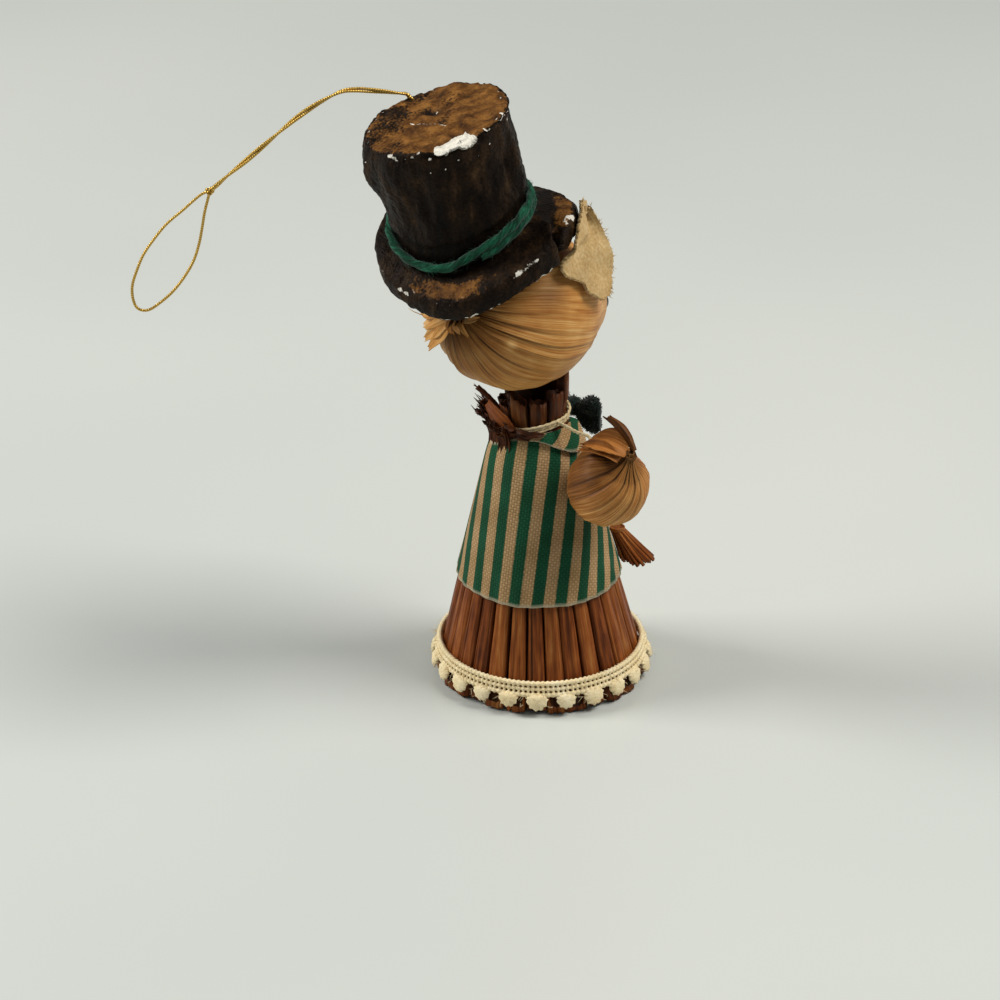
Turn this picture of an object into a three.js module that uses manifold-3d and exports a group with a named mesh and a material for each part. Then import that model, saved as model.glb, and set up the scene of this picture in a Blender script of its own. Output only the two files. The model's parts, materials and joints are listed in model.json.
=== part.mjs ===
// Straw mouse ornament: a figure of straw and corn husk in a striped smock and a top hat,
// with a husk sack at its side and a gold thread to hang it by.
// Millimetres, +Z up. The origin is the middle of the flat base. The mouse faces -Y, so its right is -X.
import * as THREE from "three";
import { mergeVertices } from "three/addons/utils/BufferGeometryUtils.js";
import Module from "manifold-3d";

const wasm = await Module();
wasm.setup();

const degree = Math.PI / 180;
const turn = 2 * Math.PI;

// Room between pieces
const clearance = 0.3;
const windingGap = 0.45;

// Straw skirt
const skirtRadius = 15;
const strawCount = 30;
const longStrawCount = 10;
const strawDepth = 1.8;
const strawSides = 8;
const shortStrawTop = 18;
const strawEndStep = 0.5;

// Neck, where the long straws are tied; it stands a little off the middle of the base
const neckRadius = 5.1;
const neckHeight = 39.5;
const neckLength = 5.2;
const neckLeanX = 0.84;
const neckLeanY = 0.84;
const splayedStraws = [3, 6];
const splayReach = 3.5;
const splayTipDepth = 0.9;

// Inner cone and the peg that carries the head
const coneBelowNeck = 3.5;
const pegDiameter = 2.6;
const pegFoot = 20;

// Smock: one cloth wrapped around the straw, its edge lapped over on the left side
const clothThickness = 0.5;
const smockHem = 15.4;
const smockSeam = -20 * degree;
const smockLap = 24 * degree;
const smockRise = 22 * degree;

// Lace around the straw ends
const laceThickness = 0.5;
const laceTop = 5;
const laceLow = 1.2;
const laceScallops = 23;
const laceScallopDepth = 1.2;
const lacePuff = 0.6;
const laceSeam = -40 * degree;

// Neck twine
const twineDiameter = 0.9;
const twineTurns = 1.6;
const twineStart = 120 * degree;

// Bow tie
const bowBelowNeck = 1.1;
const bowKnotWidth = 2.2;
const bowKnotHeight = 2.8;
const bowKnotDepth = 2.4;
const bowLoopLength = 4.2;
const bowLoopHeight = 5.8;
const bowLoopRoot = 2;
const bowThickness = 1.1;

// Head: a ball with a short snout, wrapped in husk that is gathered at the back
const headRadius = 11.9;
const headShiftX = 2.6;
const headShiftY = 2.6;
const huskThickness = 0.7;
const gatherRise = 17 * degree;
const gatherHoleRadius = 2;
const snoutLength = 4.5;
const snoutSpread = 26 * degree;

// Face
const eyeDiameter = 2.2;
const eyeSpread = 30 * degree;
const eyeRise = 18 * degree;
const beadStandoff = 0.4;
const noseDiameter = 2.8;

// Ears: felt petals glued flat to the sides of the head
const earHeight = 12;
const earWidth = 9.5;
const earThickness = 0.8;
const earRise = 24 * degree;
const earForward = 9 * degree;
const earSweep = 37 * degree;
const earCup = 0.8;
const earCurl = 1;
const earWidestShare = 0.4;
const earRoundShare = 0.62;

// Hat, set askew on the head
const hatTilt = 15.2 * degree;
const hatShiftX = 2.5;
const hatShiftY = 1.9;
const brimRadius = 13.85;
const brimThickness = 3.4;
const brimEdge = 0.9;
const brimSink = 0.4;
const brimBend = 3.85;
const brimBendAngle = 108 * degree;
const crownFootRadius = 9.6;
const crownFootX = 1.1;
const crownFootY = 1.1;
const crownTopRadius = 10.3;
const crownTopX = 2.6;
const crownTopY = 0.3;
const crownHeight = 15.85;
const crownTopTiltX = 9.6 * degree;
const crownTopTiltY = -1.95 * degree;
const crownEdge = 0.5;
const bandDiameter = 1.3;
const bandTurns = 1.45;
const bandStart = 120 * degree;

// Sack of husk, hung from the neck twine against the right side of the smock
const sackRadius = 5.9;
const sackWall = 0.55;
const sackBelowNeck = 6;
const sackAngle = 182 * degree;
const sackTilt = 38.5 * degree;
const throatRadius = 1.3;
const throatWall = 0.5;
const throatFlare = 0.4;
const sackTieDiameter = 0.4;
const sackTieTurns = 1.25;
const leafThickness = 0.5;
const leafRoot = 0.8;
const leafSpacing = 1.2;
const frontLeafWidth = 3.6;
const backLeafWidth = 2.2;
const sackCordDiameter = 0.6;

// Tips and bends of the two leaves, from the top of the sack
const frontLeafTip = [2.3, 0.9, 0.9];
const frontLeafBend = [-2.2, 0.5, 3.1];
const backLeafTip = [0.4, 0.2, 3.4];
const backLeafBend = [-2.9, -0.3, 2.9];

// Whisk of straw glued to the front of the smock
const whiskAngle = 248 * degree;
const whiskTop = 19.5;
const whiskLow = 14;
const whiskTopRadius = 0.9;
const whiskLowRadius = 2.5;

// Hanging thread. Its route lies in one upright plane through the exit in the hat's top, as distance
// along the plane and height, both from the exit.
const exitAngle = 342 * degree;
const exitInset = 0.6;
const hangerPlane = 45 * degree;
const stemDiameter = 0.9;
const loopDiameter = 0.5;
const knotDiameter = 1.6;
const knotPlace = [27.4, -13.8];
const stemRoute = [
  [0.3, 0.75], [1.6, 0.85], [3.2, 1.05], [5.1, 1.2], [7.0, 1.3], [8.9, 1.1], [10.8, 0.2], [12.9, -1.1],
  [15.3, -2.9], [17.8, -5.1], [20.3, -7.4], [22.6, -9.5], [24.9, -11.5], [26.6, -13.1],
];
const loopRoute = [
  [27.7, -15], [28.2, -17], [28.6, -19.3], [29.1, -21.8], [29.9, -24.3], [31.2, -26.7], [32.9, -29],
  [34.8, -30.8], [36.5, -31.9], [37.9, -31.6], [38.5, -30.1], [38.5, -28.1], [37.8, -25.8], [36.8, -23.4],
  [35.3, -21.1], [33.5, -18.8], [31.2, -16.7], [28.7, -14.4],
];

// Finishes
const finish = (color, roughness, metalness = 0) =>
  new THREE.MeshStandardMaterial({ color, roughness, metalness });
const foam = finish(0xe8e2d4, 0.9);
const straw = finish(0x8a5a2c, 0.6);
const wood = finish(0xb08a5a, 0.7);
const husk = finish(0xbf9462, 0.6);
const stripedCotton = finish(0x4f6f54, 0.9);
const cottonLace = finish(0xe2d2a8, 0.9);
const creamTwine = finish(0xdccfa8, 0.9);
const darkVelvet = finish(0x14231f, 0.95);
const creamFelt = finish(0xdcc9a0, 0.95);
const blackBead = finish(0x101010, 0.15);
const paintedFoam = finish(0x3a2616, 0.75);
const greenYarn = finish(0x14604a, 0.9);
const goldThread = finish(0xc09a48, 0.35, 0.8);

// Points, rings and closed solids

const at = (x, y, z) => new THREE.Vector3(x, y, z);
const polar = (radius, angle, z) => at(radius * Math.cos(angle), radius * Math.sin(angle), z);
const range = (count) => Array.from({ length: count }, (_, index) => index);

// A closed solid from its corners and triangles, turned so that its faces point out.
function closedSolid(corners, triangles) {
  const middle = new THREE.Box3().setFromPoints(corners).getCenter(new THREE.Vector3());
  let volume = 0;
  for (const triangle of triangles) {
    const [a, b, c] = triangle.map((index) => corners[index].clone().sub(middle));
    volume += a.dot(b.cross(c));
  }
  const outward = triangles.map(([a, b, c]) => (volume > 0 ? [a, b, c] : [a, c, b]));
  const geometry = new THREE.BufferGeometry().setFromPoints(corners);
  geometry.setIndex(outward.flat());
  geometry.computeVertexNormals();
  return geometry;
}

// A solid through a row of rings that have as many corners each, with flat ends.
function loft(rings) {
  const sides = rings[0].length;
  const last = (rings.length - 1) * sides;
  const triangles = [];
  for (const row of range(rings.length - 1)) {
    for (const side of range(sides)) {
      const a = row * sides + side;
      const b = row * sides + ((side + 1) % sides);
      triangles.push([a, b, b + sides], [a, b + sides, a + sides]);
    }
  }
  for (let side = 1; side + 1 < sides; side++) {
    triangles.push([0, side + 1, side], [last, last + side, last + side + 1]);
  }
  return closedSolid(rings.flat(), triangles);
}

// A thin solid of even thickness on both sides of a surface that is given as a function of two shares.
function slab(surface, thickness, across, along) {
  const step = 1e-3;
  const columns = across + 1;
  const faceSize = columns * (along + 1);
  const faces = [[], []];
  for (const j of range(along + 1)) {
    for (const i of range(columns)) {
      const u = i / across;
      const v = j / along;
      const [u0, u1] = [Math.max(u - step, 0), Math.min(u + step, 1)];
      const [v0, v1] = [Math.max(v - step, 0), Math.min(v + step, 1)];
      const tangentU = surface(u1, v).sub(surface(u0, v));
      const tangentV = surface(u, v1).sub(surface(u, v0));
      const offset = tangentU.cross(tangentV).setLength(thickness / 2);
      faces[0].push(surface(u, v).add(offset));
      faces[1].push(surface(u, v).sub(offset));
    }
  }
  const top = (i, j) => j * columns + i;
  const low = (i, j) => faceSize + top(i, j);
  const triangles = [];
  const quad = (a, b, c, d) => triangles.push([a, b, c], [a, c, d]);
  for (const j of range(along)) {
    for (const i of range(across)) {
      quad(top(i, j), top(i + 1, j), top(i + 1, j + 1), top(i, j + 1));
      quad(low(i, j), low(i, j + 1), low(i + 1, j + 1), low(i + 1, j));
    }
  }
  for (const i of range(across)) {
    quad(top(i + 1, 0), top(i, 0), low(i, 0), low(i + 1, 0));
    quad(top(i, along), top(i + 1, along), low(i + 1, along), low(i, along));
  }
  for (const j of range(along)) {
    quad(top(0, j), top(0, j + 1), low(0, j + 1), low(0, j));
    quad(top(across, j + 1), top(across, j), low(across, j), low(across, j + 1));
  }
  return closedSolid(faces.flat(), triangles);
}

// A solid of revolution about +Z from a profile of [radius, height] pairs.
function turned(profile, segments) {
  const points = profile.map(([radius, height]) => new THREE.Vector2(radius, height));
  return new THREE.LatheGeometry(points, segments).rotateX(Math.PI / 2);
}

// A round cord along points.
function cordAlong(points, diameter, sides, steps) {
  const section = new THREE.Shape(range(sides).map((side) => {
    const angle = (turn * side) / sides;
    return new THREE.Vector2((diameter / 2) * Math.cos(angle), (diameter / 2) * Math.sin(angle));
  }));
  const extrudePath = new THREE.CatmullRomCurve3(points);
  return new THREE.ExtrudeGeometry(section, { steps, extrudePath, bevelEnabled: false });
}

// A winding: one unbroken cord whose centre follows a function of the angle turned through.
// Prints the least gap between neighbouring turns, measured on the points of its centre line.
function winding(name, centre, turns, diameter) {
  const stepsPerTurn = 24;
  const sides = 6;
  const steps = Math.round(turns * stepsPerTurn);
  const points = range(steps + 1).map((step) => centre((turn * turns * step) / steps));
  let gap = Infinity;
  for (const [index, point] of points.entries()) {
    for (const other of points.slice(index + stepsPerTurn / 2)) {
      gap = Math.min(gap, point.distanceTo(other) - diameter);
    }
  }
  console.log(`${name}: least gap to itself ${gap.toFixed(2)} mm`);
  return cordAlong(points, diameter, sides, steps);
}

// Boolean cuts

function solidOf(geometry) {
  const bare = geometry.clone();
  bare.deleteAttribute("normal");
  bare.deleteAttribute("uv");
  const merged = mergeVertices(bare, 1e-4);
  const vertProperties = new Float32Array(merged.attributes.position.array);
  const triVerts = new Uint32Array(merged.index.array);
  return new wasm.Manifold(new wasm.Mesh({ numProp: 3, vertProperties, triVerts }));
}

function cut(geometry, ...tools) {
  const rest = tools.reduce((solid, tool) => solid.subtract(solidOf(tool)), solidOf(geometry));
  const { vertProperties, triVerts } = rest.getMesh();
  const result = new THREE.BufferGeometry();
  result.setAttribute("position", new THREE.BufferAttribute(vertProperties, 3));
  result.setIndex(new THREE.BufferAttribute(triVerts, 1));
  result.computeVertexNormals();
  return result;
}

// The assembly and its groups

const mouse = new THREE.Group();

function addPiece(name, geometry, material, parent = mouse) {
  const mesh = new THREE.Mesh(geometry, material);
  mesh.name = name;
  parent.add(mesh);
  return mesh;
}

function addGroup(parent, position, rotation = [0, 0, 0]) {
  const group = new THREE.Group();
  group.position.copy(position);
  group.rotation.set(...rotation);
  parent.add(group);
  mouse.updateMatrixWorld(true);
  return group;
}

// A shape from one group's frame in another's.
function carried(geometry, from, to) {
  const change = to.matrixWorld.clone().invert().multiply(from.matrixWorld);
  return geometry.clone().applyMatrix4(change);
}

// Straw cone

const skirtSlope = (skirtRadius - neckRadius) / neckHeight;
const skirtOuter = (z) => skirtRadius - skirtSlope * Math.min(z, neckHeight);
const strawRing = (z) => skirtOuter(z) - strawDepth / 2;
const strawWidth = (z, count) => (turn * strawRing(z)) / count - clearance;
const lean = new THREE.Matrix4().makeShear(0, 0, 0, 0, neckLeanX / neckHeight, neckLeanY / neckHeight);
const axisAt = (z) => at(0, 0, z).applyMatrix4(lean);

const headCentre = at(headShiftX, headShiftY, neckHeight + neckLength + headRadius);

// Height of the head's underside above a point.
function headUnderside(point) {
  const away = Math.hypot(point.x - headCentre.x, point.y - headCentre.y);
  return headCentre.z - Math.sqrt(headRadius ** 2 - away ** 2);
}

// One ring of a straw's flattened round section. The thickness turns from level to upright with the tilt.
function strawSection(angle, radius, z, width, depth, tilt = 0) {
  const centre = polar(radius, angle, z);
  const outward = polar(Math.cos(tilt), angle, -Math.sin(tilt));
  const sideways = polar(1, angle + turn / 4, 0);
  return range(strawSides).map((side) => {
    const around = (turn * side) / strawSides;
    const point = centre.clone().addScaledVector(sideways, (width / 2) * Math.cos(around));
    return point.addScaledVector(outward, (depth / 2) * Math.sin(around)).applyMatrix4(lean);
  });
}

const strawsPerLong = strawCount / longStrawCount;
const twinePitch = twineDiameter + windingGap;
const twineLow = neckHeight + clearance + twineDiameter / 2;
const twineTop = twineLow + twineTurns * twinePitch + twineDiameter / 2;
const neckStrawWidth = strawWidth(neckHeight, longStrawCount);

function strawRings(index) {
  const angle = (turn * index) / strawCount;
  const low = (strawEndStep / 2) * (1 + Math.sin(index * index));
  const widthLow = strawWidth(0, strawCount);
  const widthHigh = strawWidth(shortStrawTop, strawCount);
  const rings = [
    strawSection(angle, strawRing(low), low, widthLow, strawDepth),
    strawSection(angle, strawRing(shortStrawTop), shortStrawTop, widthHigh, strawDepth),
  ];
  if (index % strawsPerLong !== 0) {
    return rings;
  }
  const neckRing = strawRing(neckHeight);
  rings.push(strawSection(angle, neckRing, neckHeight, neckStrawWidth, strawDepth));
  if (splayedStraws.includes(index)) {
    const bendZ = twineTop + clearance + splayTipDepth / 2;
    const tipZ = bendZ + splayTipDepth / 2;
    const tipRadius = neckRadius + splayReach;
    const tipWidth = neckStrawWidth / 2;
    rings.push(strawSection(angle, neckRing, bendZ - splayTipDepth, neckStrawWidth, strawDepth));
    rings.push(strawSection(angle, neckRadius, bendZ, neckStrawWidth, splayTipDepth, turn / 6));
    rings.push(strawSection(angle, tipRadius, tipZ, tipWidth, splayTipDepth, turn / 4));
    return rings;
  }
  const guess = strawSection(angle, neckRing, neckHeight + neckLength, neckStrawWidth, strawDepth);
  const top = Math.min(...guess.map(headUnderside)) - clearance;
  rings.push(strawSection(angle, neckRing, top, neckStrawWidth, strawDepth));
  return rings;
}

for (const index of range(strawCount)) {
  const kind = index % strawsPerLong === 0 ? "long_straw" : "short_straw";
  addPiece(`${kind}_${String(index + 1).padStart(2, "0")}`, loft(strawRings(index)), straw);
}

// Peg from the cone into the middle of the head

const pegLow = axisAt(pegFoot);
const pegRun = headCentre.clone().sub(pegLow);
const pegGroup = addGroup(mouse, pegLow.clone().addScaledVector(pegRun, 0.5));
pegGroup.quaternion.setFromUnitVectors(at(0, 1, 0), pegRun.clone().normalize());
mouse.updateMatrixWorld(true);

function pegShape(room) {
  const radius = pegDiameter / 2 + room;
  return new THREE.CylinderGeometry(radius, radius, pegRun.length() + 2 * room, 16);
}

addPiece("neck_peg", pegShape(0), wood, pegGroup);
const pegHole = carried(pegShape(clearance), pegGroup, mouse);

// Inner cone with the flat base

const coneTop = neckHeight - coneBelowNeck;
const coneRadius = (z) => strawRing(z) - strawDepth / 2 - clearance;
const coneProfile = [[0, 0], [coneRadius(0), 0], [coneRadius(coneTop), coneTop], [0, coneTop]];
addPiece("body_cone", cut(turned(coneProfile, 40).applyMatrix4(lean), pegHole), foam);

// Smock

const smockOuter = (z) => skirtOuter(z) + clearance + clothThickness;

function smockSurface(u, v) {
  const wrapped = u * (turn + smockLap);
  const z = THREE.MathUtils.lerp(smockHem, neckHeight, v);
  const lap = (clothThickness + clearance) * THREE.MathUtils.smoothstep(wrapped, turn - smockRise, turn);
  return polar(smockOuter(z) - clothThickness / 2 + lap, smockSeam + wrapped, z).applyMatrix4(lean);
}

addPiece("smock", slab(smockSurface, clothThickness, 52, 4), stripedCotton);

// Lace trim, its ends butted on the left side

const laceGapAngle = (2 * clearance) / skirtRadius;
const laceStepsPerScallop = 4;

function laceSurface(u, v) {
  const bulge = Math.abs(Math.sin(Math.PI * laceScallops * u));
  const low = laceLow + laceScallopDepth * (1 - bulge);
  const z = THREE.MathUtils.lerp(low, laceTop, v);
  const radius = skirtOuter(z) + clearance + laceThickness / 2 + lacePuff * bulge * (1 - v);
  return polar(radius, laceSeam + u * (turn - laceGapAngle), z).applyMatrix4(lean);
}

addPiece("lace_trim", slab(laceSurface, laceThickness, laceScallops * laceStepsPerScallop, 2), cottonLace);

// Neck twine

const twineRadius = neckRadius + clearance + twineDiameter / 2;
const twineCentre = (angle) =>
  polar(twineRadius, twineStart + angle, twineLow + (twinePitch * angle) / turn).applyMatrix4(lean);
addPiece("neck_twine", winding("neck_twine", twineCentre, twineTurns, twineDiameter), creamTwine);

// Bow tie at the front of the neck

const bowStandoff = neckRadius + twineDiameter + 2 * clearance + bowKnotDepth / 2;
const bow = addGroup(mouse, axisAt(neckHeight - bowBelowNeck).add(at(0, -bowStandoff, 0)));

function bowKnotRing(y, share) {
  const sides = 12;
  return range(sides).map((side) => {
    const angle = (turn * side) / sides;
    return at((bowKnotWidth / 2) * share * Math.cos(angle), y, (bowKnotHeight / 2) * share * Math.sin(angle));
  });
}

const bowKnotRings = [[-0.5, 0.6], [-0.25, 0.95], [0.25, 0.95], [0.5, 0.6]];
const bowKnot = loft(bowKnotRings.map(([depth, share]) => bowKnotRing(depth * bowKnotDepth, share)));
addPiece("bow_knot", bowKnot, darkVelvet, bow);

for (const [side, name] of [[-1, "bow_loop_right"], [1, "bow_loop_left"]]) {
  const loopSurface = (u, v) => {
    const height = THREE.MathUtils.lerp(bowLoopRoot, bowLoopHeight, Math.sin(u * 2));
    const x = side * (bowKnotWidth / 2 + clearance + u * bowLoopLength);
    return at(x, (bowThickness / 2) * Math.sin(Math.PI * u), (v - 0.5) * height);
  };
  addPiece(name, slab(loopSurface, bowThickness, 6, 4), darkVelvet, bow);
}

// Head: the ball, its husk wrap and the shapes that neighbours are cut with

const head = addGroup(mouse, headCentre);
const headWrap = addGroup(head, at(0, 0, 0), [gatherRise - turn / 4, 0, 0]);

// Profile of the head from the snout towards the gather, grown or shrunk by an offset.
function headProfile(offset, fromGather, steps) {
  return range(steps + 1).map((step) => {
    const fromSnout = (Math.PI - fromGather) * (step / steps);
    const radius = headRadius + offset + snoutLength * Math.exp(-((fromSnout / snoutSpread) ** 2));
    const onAxis = fromGather === 0 && step === steps;
    return [step === 0 || onAxis ? 0 : radius * Math.sin(fromSnout), -radius * Math.cos(fromSnout)];
  });
}

const headSolid = (offset) => turned(headProfile(offset, 0, 18), 32);
const gatherAngle = Math.asin(gatherHoleRadius / headRadius);
const huskProfile = [
  ...headProfile(0, gatherAngle, 15),
  ...headProfile(-huskThickness, gatherAngle, 15).reverse(),
];
const pegHoleInHead = carried(pegHole, mouse, headWrap);
addPiece("head_husk", cut(turned(huskProfile, 32), pegHoleInHead), husk, headWrap);
const headBall = turned(headProfile(-huskThickness - clearance, 0, 10), 20);
addPiece("head_ball", cut(headBall, pegHoleInHead), foam, headWrap);

const headRoom = carried(headSolid(clearance), headWrap, head);

// A bead on the head's surface, its back cut to the head.
function addBead(name, direction, reach, diameter) {
  const bead = new THREE.SphereGeometry(diameter / 2, 14, 10);
  const place = direction.setLength(reach);
  addPiece(name, cut(bead.translate(place.x, place.y, place.z), headRoom), blackBead, head);
}

for (const [side, name] of [[-1, "eye_right"], [1, "eye_left"]]) {
  const level = Math.cos(eyeRise);
  const direction = at(side * Math.sin(eyeSpread) * level, -Math.cos(eyeSpread) * level, Math.sin(eyeRise));
  addBead(name, direction, headRadius + beadStandoff, eyeDiameter);
}
const snoutAxis = at(0, -Math.cos(gatherRise), -Math.sin(gatherRise));
addBead("nose", snoutAxis, headRadius + snoutLength + beadStandoff, noseDiameter);

// Hat frame: its origin is the middle of the brim's top

const hatTurn = [-hatTilt, 0, 0];
const hatHeight = headRadius - brimSink + brimThickness;
const hatPlace = at(hatShiftX, hatShiftY, hatHeight).applyEuler(new THREE.Euler(...hatTurn)).add(headCentre);
const hat = addGroup(mouse, hatPlace, hatTurn);

// How far the brim, bent down at two opposite sides, lies below its middle.
function brimDrop(x, y) {
  const away = x * Math.cos(brimBendAngle) + y * Math.sin(brimBendAngle);
  return brimBend * (away / brimRadius) ** 2;
}

function brimShape(room) {
  const rim = brimRadius + room;
  const top = room;
  const low = -brimThickness - room;
  const level = (z) => [0, 0.25, 0.5, 0.75].map((share) => [rim * share, z]);
  const edge = [[rim - brimEdge, low], [rim, low + brimEdge], [rim, top - brimEdge], [rim - brimEdge, top]];
  const geometry = turned([...level(low), ...edge, ...level(top).reverse()], 44);
  const position = geometry.attributes.position;
  for (const index of range(position.count)) {
    const drop = brimDrop(position.getX(index), position.getY(index));
    position.setZ(index, position.getZ(index) - drop);
  }
  return geometry;
}

const headRoomInHat = carried(headRoom, head, hat);
addPiece("hat_brim", cut(brimShape(0), headRoomInHat), paintedFoam, hat);

// Crown: a block from the bent brim up to a tilted top

const crownTopNormal = at(Math.tan(crownTopTiltX), Math.tan(crownTopTiltY), 1).normalize();
const crownTopTilt = new THREE.Quaternion().setFromUnitVectors(at(0, 0, 1), crownTopNormal);

// A point on the crown's wall, or off it, at an angle and at a share of the way from the brim to the top.
function crownPoint(angle, share, off) {
  const foot = polar(crownFootRadius + off, angle, clearance).add(at(crownFootX, crownFootY, 0));
  foot.z -= brimDrop(foot.x, foot.y);
  const top = polar(crownTopRadius + off, angle, 0).applyQuaternion(crownTopTilt);
  top.add(at(crownTopX, crownTopY, clearance + crownHeight));
  return foot.lerp(top, share);
}

const crownSides = 40;
const crownAngles = range(crownSides).map((side) => (turn * side) / crownSides);
const crownRing = (share, off) => crownAngles.map((angle) => crownPoint(angle, share, off));
const edgeShare = crownEdge / crownHeight;
const crownWall = [-edgeShare, 0.5, 1 - edgeShare].map((share) => crownRing(share, 0));
const crownRings = [...crownWall, crownRing(1, -crownEdge)];
addPiece("hat_crown", cut(loft(crownRings), brimShape(clearance)), paintedFoam, hat);

// Yarn band wound around the crown's foot

const wallHeights = crownAngles.map((angle) => crownPoint(angle, 1, 0).distanceTo(crownPoint(angle, 0, 0)));
const leastWall = Math.min(...wallHeights);
const bandPitch = (bandDiameter + windingGap) / leastWall;
const bandLow = bandDiameter / 2 / leastWall;
const bandCentre = (angle) =>
  crownPoint(bandStart + angle, bandLow + (bandPitch * angle) / turn, clearance + bandDiameter / 2);
addPiece("hat_band", winding("hat_band", bandCentre, bandTurns, bandDiameter), greenYarn, hat);

// Ears, cut clear of the head and the brim

const brimRoom = carried(brimShape(clearance), hat, head);

for (const [side, name] of [[-1, "ear_right"], [1, "ear_left"]]) {
  const outward = at(-Math.cos(earRise) * Math.cos(earForward), -Math.cos(earRise) * Math.sin(earForward),
    Math.sin(earRise));
  const upright = at(0, 0, 1).addScaledVector(outward, -outward.z).normalize();
  const forward = at(0, 0, 0).crossVectors(outward, upright);
  const rise = upright.clone().applyAxisAngle(outward, -earSweep);
  const across = forward.clone().applyAxisAngle(outward, -earSweep);
  const standoff = headRadius + clearance + earThickness / 2;
  const earSurface = (u, v) => {
    const roundness = Math.sqrt(1 - ((v - earWidestShare) / earRoundShare) ** 2);
    const reach = (2 * u - 1) * (earWidth / 2) * roundness;
    const lift = earCup * (2 * u - 1) ** 2 * v + earCurl * v * v;
    const point = outward.clone().multiplyScalar(standoff + lift);
    point.addScaledVector(across, reach).addScaledVector(rise, v * earHeight);
    point.x *= -side;
    return point;
  };
  addPiece(name, cut(slab(earSurface, earThickness, 8, 8), headRoom, brimRoom), creamFelt, head);
}

// Sack: a ball of husk with a tied throat, two leaves above the tie and the cord to the neck

const slopeCosine = Math.cos(Math.atan(skirtSlope));
const sackHeight = neckHeight - sackBelowNeck;
const sackReach = smockOuter(sackHeight) + (sackRadius + clearance) / slopeCosine;
const sackCentre = axisAt(sackHeight).add(polar(sackReach, sackAngle, 0));
const sack = addGroup(mouse, sackCentre);
const sackWrap = addGroup(sack, at(0, 0, 0), [0, -sackTilt, 0]);

// Profile of a ball from its lowest point up to where it meets a radius near the top.
function ballProfile(radius, endRadius, steps) {
  const end = Math.PI - Math.asin(endRadius / radius);
  return range(steps + 1).map((step) => {
    const angle = (end * step) / steps;
    return [step === 0 ? 0 : radius * Math.sin(angle), -radius * Math.cos(angle)];
  });
}

const tiePitch = sackTieDiameter + windingGap;
const tieHeight = sackTieTurns * tiePitch + sackTieDiameter;
const throatTop = sackRadius + tieHeight + clearance + throatFlare;
const throatBore = throatRadius - throatWall;
const sackProfile = [
  ...ballProfile(sackRadius, throatRadius, 11),
  [throatRadius, throatTop - throatFlare], [throatRadius + throatFlare, throatTop],
  [throatBore + throatFlare, throatTop], [throatBore, throatTop - throatFlare],
  ...ballProfile(sackRadius - sackWall, throatBore, 9).reverse(),
];
addPiece("sack_wrap", turned(sackProfile, 26), husk, sackWrap);
const sackBallRadius = sackRadius - sackWall - clearance;
addPiece("sack_ball", new THREE.SphereGeometry(sackBallRadius, 18, 12), foam, sackWrap);

const tieRadius = throatRadius + clearance + sackTieDiameter / 2;
const tieLow = sackRadius + sackTieDiameter / 2;
const tieCentre = (angle) => polar(tieRadius, angle, tieLow + (tiePitch * angle) / turn);
addPiece("sack_tie", winding("sack_tie", tieCentre, sackTieTurns, sackTieDiameter), creamTwine, sackWrap);

// Leaves start above the throat and lie over the sack towards the neck.
const leafTilt = new THREE.Euler(0, -sackTilt, 0);
const leafStart = at(0, 0, throatTop + clearance + leafThickness).applyEuler(leafTilt);
const overSack = ([x, y, z]) => at(x, y, sackRadius + z);

function addLeaf(name, side, bend, tip, width) {
  const start = leafStart.clone().add(at(0, (side * leafSpacing) / 2, 0));
  const spine = new THREE.QuadraticBezierCurve3(start, overSack(bend), overSack(tip));
  const leafSurface = (u, v) => {
    const half = THREE.MathUtils.lerp(leafRoot, width, Math.sin(Math.PI * v ** 0.8)) / 2;
    const sideways = side > 0 ? 2 * u * half - leafRoot / 2 : leafRoot / 2 - 2 * u * half;
    return spine.getPoint(v).add(at(0, sideways, 0));
  };
  addPiece(name, slab(leafSurface, leafThickness, 4, 9), husk, sack);
}

addLeaf("sack_leaf_front", 1, frontLeafBend, frontLeafTip, frontLeafWidth);
addLeaf("sack_leaf_back", -1, backLeafBend, backLeafTip, backLeafWidth);

const cordEnd = sackCentre.clone().add(overSack(frontLeafTip));
const cordStart = axisAt(cordEnd.z);
const cordOff = twineRadius + twineDiameter / 2 + clearance;
const cordAcross = cordEnd.y - cordStart.y;
cordStart.add(at(-Math.sqrt(cordOff ** 2 - cordAcross ** 2), cordAcross, 0));
const cordRun = cordEnd.clone().sub(cordStart);
cordRun.setLength(cordRun.length() - clearance - leafThickness);
const cordPoints = [0, 0.5, 1].map((share) => cordStart.clone().addScaledVector(cordRun, share));
addPiece("sack_cord", cordAlong(cordPoints, sackCordDiameter, 8, 4), creamTwine);

// Whisk of straw: a bundle that widens downwards, lying along the smock

const whiskSides = 12;

function whiskRing(share) {
  const z = THREE.MathUtils.lerp(whiskTop, whiskLow, share);
  const radius = THREE.MathUtils.lerp(whiskTopRadius, whiskLowRadius, share);
  const centre = polar(smockOuter(z) + clearance + radius / slopeCosine, whiskAngle, z).applyMatrix4(lean);
  return range(whiskSides).map((side) => polar(radius, (turn * side) / whiskSides, 0).add(centre));
}

addPiece("straw_whisk", loft([0, 0.33, 0.67, 1].map(whiskRing)), straw);

// Hanging thread: the doubled stem, the knot and the loop

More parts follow.
